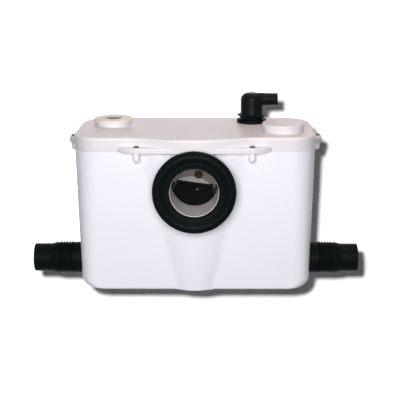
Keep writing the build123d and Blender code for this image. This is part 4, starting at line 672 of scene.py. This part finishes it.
class PUMP_OT_sleeves(bpy.types.Operator):
    """Turn the ribbed rubber sleeve of each side inlet"""

    bl_idname = "pump.sleeves"
    bl_label = "Side sleeves"

    def execute(self, context):
        steps = context.scene.pump_sizes.turned_steps
        for side in ("left", "right"):
            low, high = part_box(f"{side}_sleeve")
            centre = (0, (low.y + high.y) / 2, (low.z + high.z) / 2)
            start = min(abs(low.x), abs(high.x))
            edge = SLEEVE_CUFF_EDGE
            outline = [(SLEEVE_SEAT, start), (SLEEVE_CUFF - edge, start)]
            outline += arc(SLEEVE_CUFF - edge, start + edge, edge, -90, 0, 3)
            place = start + SLEEVE_CUFF_LENGTH
            outline += raised(SLEEVE_CUFF_END, place)
            for rib in range(SLEEVE_RIBS):
                middle = place + SLEEVE_RIB_PITCH * (rib + 0.5)
                outline += [(SLEEVE_VALLEY, middle - SLEEVE_RIB_FOOT)]
                outline += arc(SLEEVE_RIB_CENTRE, middle, SLEEVE_RIB, -125, 125, 8)[1:-1]
                outline += [(SLEEVE_VALLEY, middle + SLEEVE_RIB_FOOT)]
            place += SLEEVE_RIB_PITCH * SLEEVE_RIBS
            outline += raised(SLEEVE_SWELL_START, place)
            swell_radius, swell_rise, swell = SLEEVE_SWELL
            outline += arc(swell_radius, place + swell_rise, swell, -45, 45, 8)
            outline += raised(SLEEVE_SWELL_END, place)
            place += SLEEVE_SWELL_LENGTH
            for share in SLEEVE_RIDGE_SHARES:
                outline += raised(SLEEVE_RIDGE, place + SLEEVE_END_LENGTH * share)
            edge = SLEEVE_EDGE
            end = place + SLEEVE_END_LENGTH
            outline += arc(SLEEVE_END - edge, end - edge, edge, 0, 90, 4)
            outline += [(SLEEVE_BORE + edge, end)]
            outline += arc(SLEEVE_BORE + edge, end - edge, edge, 90, 180, 4)
            outline += [(SLEEVE_BORE, start + SLEEVE_SEAT_DEPTH), (SLEEVE_SEAT, start + SLEEVE_SEAT_DEPTH)]
            sleeve = turn_piece(f"{side}_sleeve_rubber", outline, centre, side, steps)
            soften(sleeve, angle_deg=38)
            stand_for(sleeve, f"{side}_sleeve", TANK_BODY, "rubber")
        return {"FINISHED"}


# Grommet: radii, heights over its foot, and outline points of (radius, height)
GROMMET_BORE = 0.01506
GROMMET_FOOT = ((GROMMET_BORE, 0), (0.0213, 0), (0.0213, 0.003), (0.02, 0.0032), (0.02, 0.0077))
GROMMET_UNDER = 0.0024
GROMMET_UNDER_RISE = 0.0101
GROMMET_OVER = 0.0026
GROMMET_OVER_RISE = 0.0113
GROMMET_STEP = 0.0212
GROMMET_SHOULDER = 0.0141
GROMMET_CORNER = 0.001
GROMMET_COLLAR = 0.0190
GROMMET_EDGE = 0.0008


class PUMP_OT_grommet(bpy.types.Operator):
    """Turn the rubber grommet in the lid under the elbow"""

    bl_idname = "pump.grommet"
    bl_label = "Outlet grommet"

    def execute(self, context):
        steps = context.scene.pump_sizes.turned_steps
        low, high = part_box("outlet_grommet")
        centre = ((low.x + high.x) / 2, (low.y + high.y) / 2, 0)
        outer = (high.x - low.x) / 2
        shoulder = low.z + GROMMET_SHOULDER + GROMMET_CORNER
        outline = raised(GROMMET_FOOT, low.z)
        outline += arc(outer - GROMMET_UNDER, low.z + GROMMET_UNDER_RISE, GROMMET_UNDER, -90, 0, 8)
        outline += arc(outer - GROMMET_OVER, low.z + GROMMET_OVER_RISE, GROMMET_OVER, 0, 90, 8)
        outline += [(GROMMET_STEP, low.z + GROMMET_SHOULDER)]
        outline += arc(GROMMET_STEP, shoulder, GROMMET_CORNER, -90, -180, 5)
        outline += arc(GROMMET_COLLAR, high.z - GROMMET_EDGE, GROMMET_EDGE, 0, 90, 4)
        outline += [(GROMMET_BORE, high.z)]
        grommet = turn_piece("grommet_rubber", outline, centre, "up", steps)
        soften(grommet, angle_deg=40)
        stand_for(grommet, "outlet_grommet", TANK_BODY, "rubber")
        return {"FINISHED"}


# Vent cap and the hub in its window: radii, heights, and outline points of (radius, height)
VENT_BORE = 0.0195
VENT_NECK = 0.0212
VENT_PLATE = 0.0048
VENT_CEILING = 0.0002
VENT_UNDER_EDGE = 0.0012
VENT_TOP_EDGE = 0.0018
VENT_WINDOW = 0.0140
VENT_WINDOW_RIM = 0.0152
VENT_WINDOW_EDGE_CENTRE = 0.0148
VENT_WINDOW_EDGE = 0.0006
HUB_RISE = 0.006
HUB_OUTER = 0.0127
HUB_FLAT = ((HUB_OUTER, -0.0012), (0.0122, -0.0008), (0.0088, -0.0008))
HUB_BUTTON = 0.0078
HUB_EDGE = 0.0008
HUB_CROWN = 0.0002
HUB_CROWN_FLAT = 0.003
HUB_STEPS = 48


class PUMP_OT_vent_cap(bpy.types.Operator):
    """Turn the vent cap and set its grey hub in the window"""

    bl_idname = "pump.vent_cap"
    bl_label = "Vent cap"

    def execute(self, context):
        steps = context.scene.pump_sizes.turned_steps
        low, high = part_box("vent_cap")
        centre = ((low.x + high.x) / 2, (low.y + high.y) / 2, 0)
        outer = (high.x - low.x) / 2
        under = high.z - VENT_PLATE
        ceiling = under + VENT_CEILING
        edge = VENT_UNDER_EDGE
        outline = [(VENT_BORE, low.z), (VENT_NECK, low.z), (VENT_NECK, under), (outer - edge, under)]
        outline += arc(outer - edge, under + edge, edge, -80, 0, 4)
        edge = VENT_TOP_EDGE
        outline += arc(outer - edge, high.z - edge, edge, 0, 90, 6)
        outline += [(VENT_WINDOW_RIM, high.z)]
        edge = VENT_WINDOW_EDGE
        outline += arc(VENT_WINDOW_EDGE_CENTRE, high.z - edge, edge, 90, 180, 4)
        outline += [(VENT_WINDOW, ceiling), (VENT_BORE, ceiling)]
        cap = turn_piece("vent_cap_ring", outline, centre, "up", steps)
        soften(cap, angle_deg=35)
        stand_for(cap, "vent_cap", "vent_cap_body", "cream")
        top = high.z - HUB_CROWN
        outline = [(0, low.z + HUB_RISE), (HUB_OUTER, low.z + HUB_RISE)]
        outline += raised(HUB_FLAT, top)
        outline += arc(HUB_BUTTON, top - HUB_EDGE, HUB_EDGE, 0, 90, 4)
        outline += [(HUB_CROWN_FLAT, high.z), (0, high.z)]
        hub = turn_piece("vent_hub", outline, centre, "up", HUB_STEPS)
        soften(hub, angle_deg=35)
        dress(hub, "hub")
        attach(hub, "vent_cap_body")
        return {"FINISHED"}


class PUMP_OT_smooth_parts(bpy.types.Operator):
    """Smooth the other pieces that show outside"""

    bl_idname = "pump.smooth_parts"
    bl_label = "Other outside pieces"

    def execute(self, context):
        bodies = frame["record"]["behaviour"]["bodies"]
        owner = {node: body for body, nodes in bodies.items() for node in nodes}
        for node in ("inlet_pipe", "flap_bar", "flap_shield", "inlet_flap", "flap_rivet", "flap_clamp_screw",
                     "flap_hinge_pin", "discharge_elbow", "access_cap", "lid_screws", "cable_gland"):
            piece = merged_copy(node, f"{node}_finished")
            soften(piece, angle_deg=28)
            stand_for(piece, node, owner[node], NODE_FINISH[node])
        return {"FINISHED"}


class PUMP_OT_plunger_spring(bpy.types.Operator):
    """Copy the spring round the switch's plunger and let it ride on the tank"""

    bl_idname = "pump.plunger_spring"
    bl_label = "Plunger spring"

    def execute(self, context):
        spring = merged_copy("plunger_spring", "spring_turns")
        stand_for(spring, "plunger_spring", TANK_BODY, "steel")
        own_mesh(spring)
        return {"FINISHED"}


def area_light(name, place, target, size, power, colour=(1, 1, 1)):
    """Soft square light that points at a place."""
    data = bpy.data.lights.new(name, "AREA")
    data.shape = "SQUARE"
    data.size = size
    data.energy = power
    data.color = colour
    light = bpy.data.objects.new(name, data)
    bpy.context.scene.collection.objects.link(light)
    light.location = place
    light.rotation_euler = (Vector(target) - Vector(place)).to_track_quat("-Z", "Y").to_euler()
    return light


# Camera: place, aim, roll, sensor width in millimetres and the shift of its frame
CAMERA_PLACE = Vector((0.0304, -1.5427, 0.5628))
CAMERA_AIM = Vector((0, -0.004, 0.125))
CAMERA_ROLL_DEG = -0.31
CAMERA_SENSOR = 36
CAMERA_SHIFT = (0.0108, 0.0131)

# Backdrop: distance behind the aim, side, colour and own light
BACKDROP_BEHIND = 0.6
BACKDROP_SIDE = 1.9
BACKDROP_COLOUR = (0.95, 0.945, 0.95, 1)
BACKDROP_GLOW = 0.02

# Lamps: sides, places, aims and colours
SHADOW_SIZE = 0.036
KEY_SIZE = 0.8
KEY_LEFT = 0.08
KEY_UP = 0.05
KEY_AIM = (0, 0, 0.14)
KEY_COLOUR = (0.98, 0.975, 1.0)
TOP_SIZE = 0.9
TOP_PLACE = (0.25, 0.1, 1.7)
TOP_AIM = (0, 0, 0.26)
TOP_COLOUR = (1.0, 0.76, 0.72)

# Room: colour of its even light and share of its white that reflections show
ROOM_COLOUR = (0.96, 0.97, 1.0, 1)
ROOM_WHITE = (1, 1, 1, 1)
ROOM_GLOSS = 0.35


def backdrop_material():
    """White backdrop that keeps the object's shadow and lets the camera through from behind."""
    material = bpy.data.materials.new("White backdrop")
    material.use_nodes = True
    tree = material.node_tree
    tree.nodes.clear()
    output = add_node(tree, "ShaderNodeOutputMaterial", (700, 0))
    plain = add_node(tree, "ShaderNodeBsdfDiffuse", (0, 200))
    plain.inputs["Color"].default_value = BACKDROP_COLOUR
    glow = add_node(tree, "ShaderNodeEmission", (0, 0))
    seen = add_node(tree, "ShaderNodeLightPath", (-500, 0))
    share = calculate(tree, (-300, 100), "MAXIMUM", seen.outputs["Is Camera Ray"],
                      seen.outputs["Is Glossy Ray"])
    share = calculate(tree, (-200, 0), "MAXIMUM", share, seen.outputs["Is Transmission Ray"])
    share = calculate(tree, (-100, 0), "MULTIPLY", share, BACKDROP_GLOW)
    tree.links.new(share, glow.inputs["Strength"])
    both = add_node(tree, "ShaderNodeAddShader", (200, 100))
    tree.links.new(plain.outputs[0], both.inputs[0])
    tree.links.new(glow.outputs[0], both.inputs[1])
    side = add_node(tree, "ShaderNodeNewGeometry", (200, 400))
    clear = add_node(tree, "ShaderNodeBsdfTransparent", (200, -100))
    blend = add_node(tree, "ShaderNodeMixShader", (450, 0))
    tree.links.new(side.outputs["Backfacing"], blend.inputs[0])
    tree.links.new(both.outputs[0], blend.inputs[1])
    tree.links.new(clear.outputs[0], blend.inputs[2])
    tree.links.new(blend.outputs[0], output.inputs["Surface"])
    return material


def studio_world(ambient):
    """World that is white to the camera, partly so in reflections, and a low even light otherwise."""
    world = bpy.data.worlds.new("Studio")
    world.use_nodes = True
    tree = world.node_tree
    back = tree.nodes["Background"]
    back.inputs["Color"].default_value = ROOM_COLOUR
    back.inputs["Strength"].default_value = ambient
    white = add_node(tree, "ShaderNodeBackground", (0, -200))
    white.inputs["Color"].default_value = ROOM_WHITE
    seen = add_node(tree, "ShaderNodeLightPath", (-500, 300))
    share = calculate(tree, (-300, 300), "MAXIMUM", seen.outputs["Is Camera Ray"],
                      seen.outputs["Is Transmission Ray"])
    glossy = calculate(tree, (-300, 100), "MULTIPLY", seen.outputs["Is Glossy Ray"], ROOM_GLOSS)
    share = calculate(tree, (-100, 300), "MAXIMUM", share, glossy)
    blend = add_node(tree, "ShaderNodeMixShader", (300, 0))
    tree.links.new(share, blend.inputs[0])
    tree.links.new(back.outputs[0], blend.inputs[1])
    tree.links.new(white.outputs[0], blend.inputs[2])
    tree.links.new(blend.outputs[0], tree.nodes["World Output"].inputs["Surface"])
    return world


def light_only(light, piece, state):
    """Let a light reach one piece alone, or everything but that piece."""
    group = bpy.data.collections.new(f"{light.name} reach")
    group.objects.link(piece)
    group.collection_objects[0].light_linking.link_state = state
    light.light_linking.receiver_collection = group


class PUMP_OT_stage(bpy.types.Operator):
    """Set up the backdrop, the light and the camera"""

    bl_idname = "pump.stage"
    bl_label = "Stage"

    def execute(self, context):
        settings = context.scene.pump_stage
        scene = context.scene
        view = (CAMERA_AIM - CAMERA_PLACE).normalized()
        right = view.cross(Vector((0, 0, 1))).normalized()
        up = right.cross(view)
        clear_selection()
        bpy.ops.mesh.primitive_plane_add(size=1, location=CAMERA_AIM + view * BACKDROP_BEHIND,
                                         rotation=(-view).to_track_quat("Z", "Y").to_euler())
        backdrop = context.object
        backdrop.name = "backdrop"
        backdrop.scale = (BACKDROP_SIDE, BACKDROP_SIDE, 1)
        backdrop.data.materials.append(backdrop_material())
        backdrop.visible_shadow = False
        scene.world = studio_world(settings.ambient)
        beside = CAMERA_PLACE - right * settings.shadow_shift + up * settings.shadow_drop
        lamp = area_light("shadow light", beside, CAMERA_AIM, SHADOW_SIZE, settings.shadow_power)
        beside = CAMERA_PLACE - right * KEY_LEFT + up * KEY_UP
        key = area_light("key", beside, KEY_AIM, KEY_SIZE, settings.key_power, KEY_COLOUR)
        top = area_light("top", TOP_PLACE, TOP_AIM, TOP_SIZE, settings.top_power, TOP_COLOUR)
        light_only(lamp, backdrop, "INCLUDE")
        for light in (key, top):
            light_only(light, backdrop, "EXCLUDE")
        data = bpy.data.cameras.new("camera")
        data.lens = settings.lens
        data.sensor_width = CAMERA_SENSOR
        data.shift_x, data.shift_y = CAMERA_SHIFT
        camera = bpy.data.objects.new("camera", data)
        scene.collection.objects.link(camera)
        turn = view.to_track_quat("-Z", "Y").to_matrix().to_4x4()
        roll = Matrix.Rotation(math.radians(CAMERA_ROLL_DEG), 4, "Z")
        camera.matrix_world = Matrix.Translation(CAMERA_PLACE) @ turn @ roll
        scene.camera = camera
        scene.view_settings.view_transform = "Standard"
        return {"FINISHED"}


class PUMP_PT_pieces(bpy.types.Panel):
    """List of the pump's pieces and settings"""

    bl_idname = "PUMP_PT_pieces"
    bl_label = "Toilet pump"
    bl_space_type = "VIEW_3D"
    bl_region_type = "UI"
    bl_category = "Toilet pump"

    def draw(self, context):
        layout = self.layout
        for settings in (context.scene.pump_finish, context.scene.pump_sizes, context.scene.pump_stage):
            for key in settings.bl_rna.properties.keys():
                if key not in ("rna_type", "name"):
                    layout.prop(settings, key)
        for operator in OPERATORS:
            layout.operator(operator.bl_idname)


OPERATORS = (
    PUMP_OT_finishes,
    PUMP_OT_tank,
    PUMP_OT_lid,
    PUMP_OT_collar,
    PUMP_OT_sleeves,
    PUMP_OT_grommet,
    PUMP_OT_vent_cap,
    PUMP_OT_smooth_parts,
    PUMP_OT_plunger_spring,
    PUMP_OT_stage,
)
CLASSES = (PumpFinish, PumpSizes, PumpStage, *OPERATORS, PUMP_PT_pieces)


def register():
    """Register the settings, the operators and the panel."""
    for entry in CLASSES:
        bpy.utils.register_class(entry)
    bpy.types.Scene.pump_finish = PointerProperty(type=PumpFinish)
    bpy.types.Scene.pump_sizes = PointerProperty(type=PumpSizes)
    bpy.types.Scene.pump_stage = PointerProperty(type=PumpStage)


def unregister():
    """Take the settings, the operators and the panel away."""
    del bpy.types.Scene.pump_stage
    del bpy.types.Scene.pump_sizes
    del bpy.types.Scene.pump_finish
    for entry in reversed(CLASSES):
        bpy.utils.unregister_class(entry)


def main():
    """Register the classes and make every piece in order."""
    register()
    for operator in OPERATORS:
        group, name = operator.bl_idname.split(".")
        getattr(getattr(bpy.ops, group), name)()


if __name__ == "__main__":
    main()
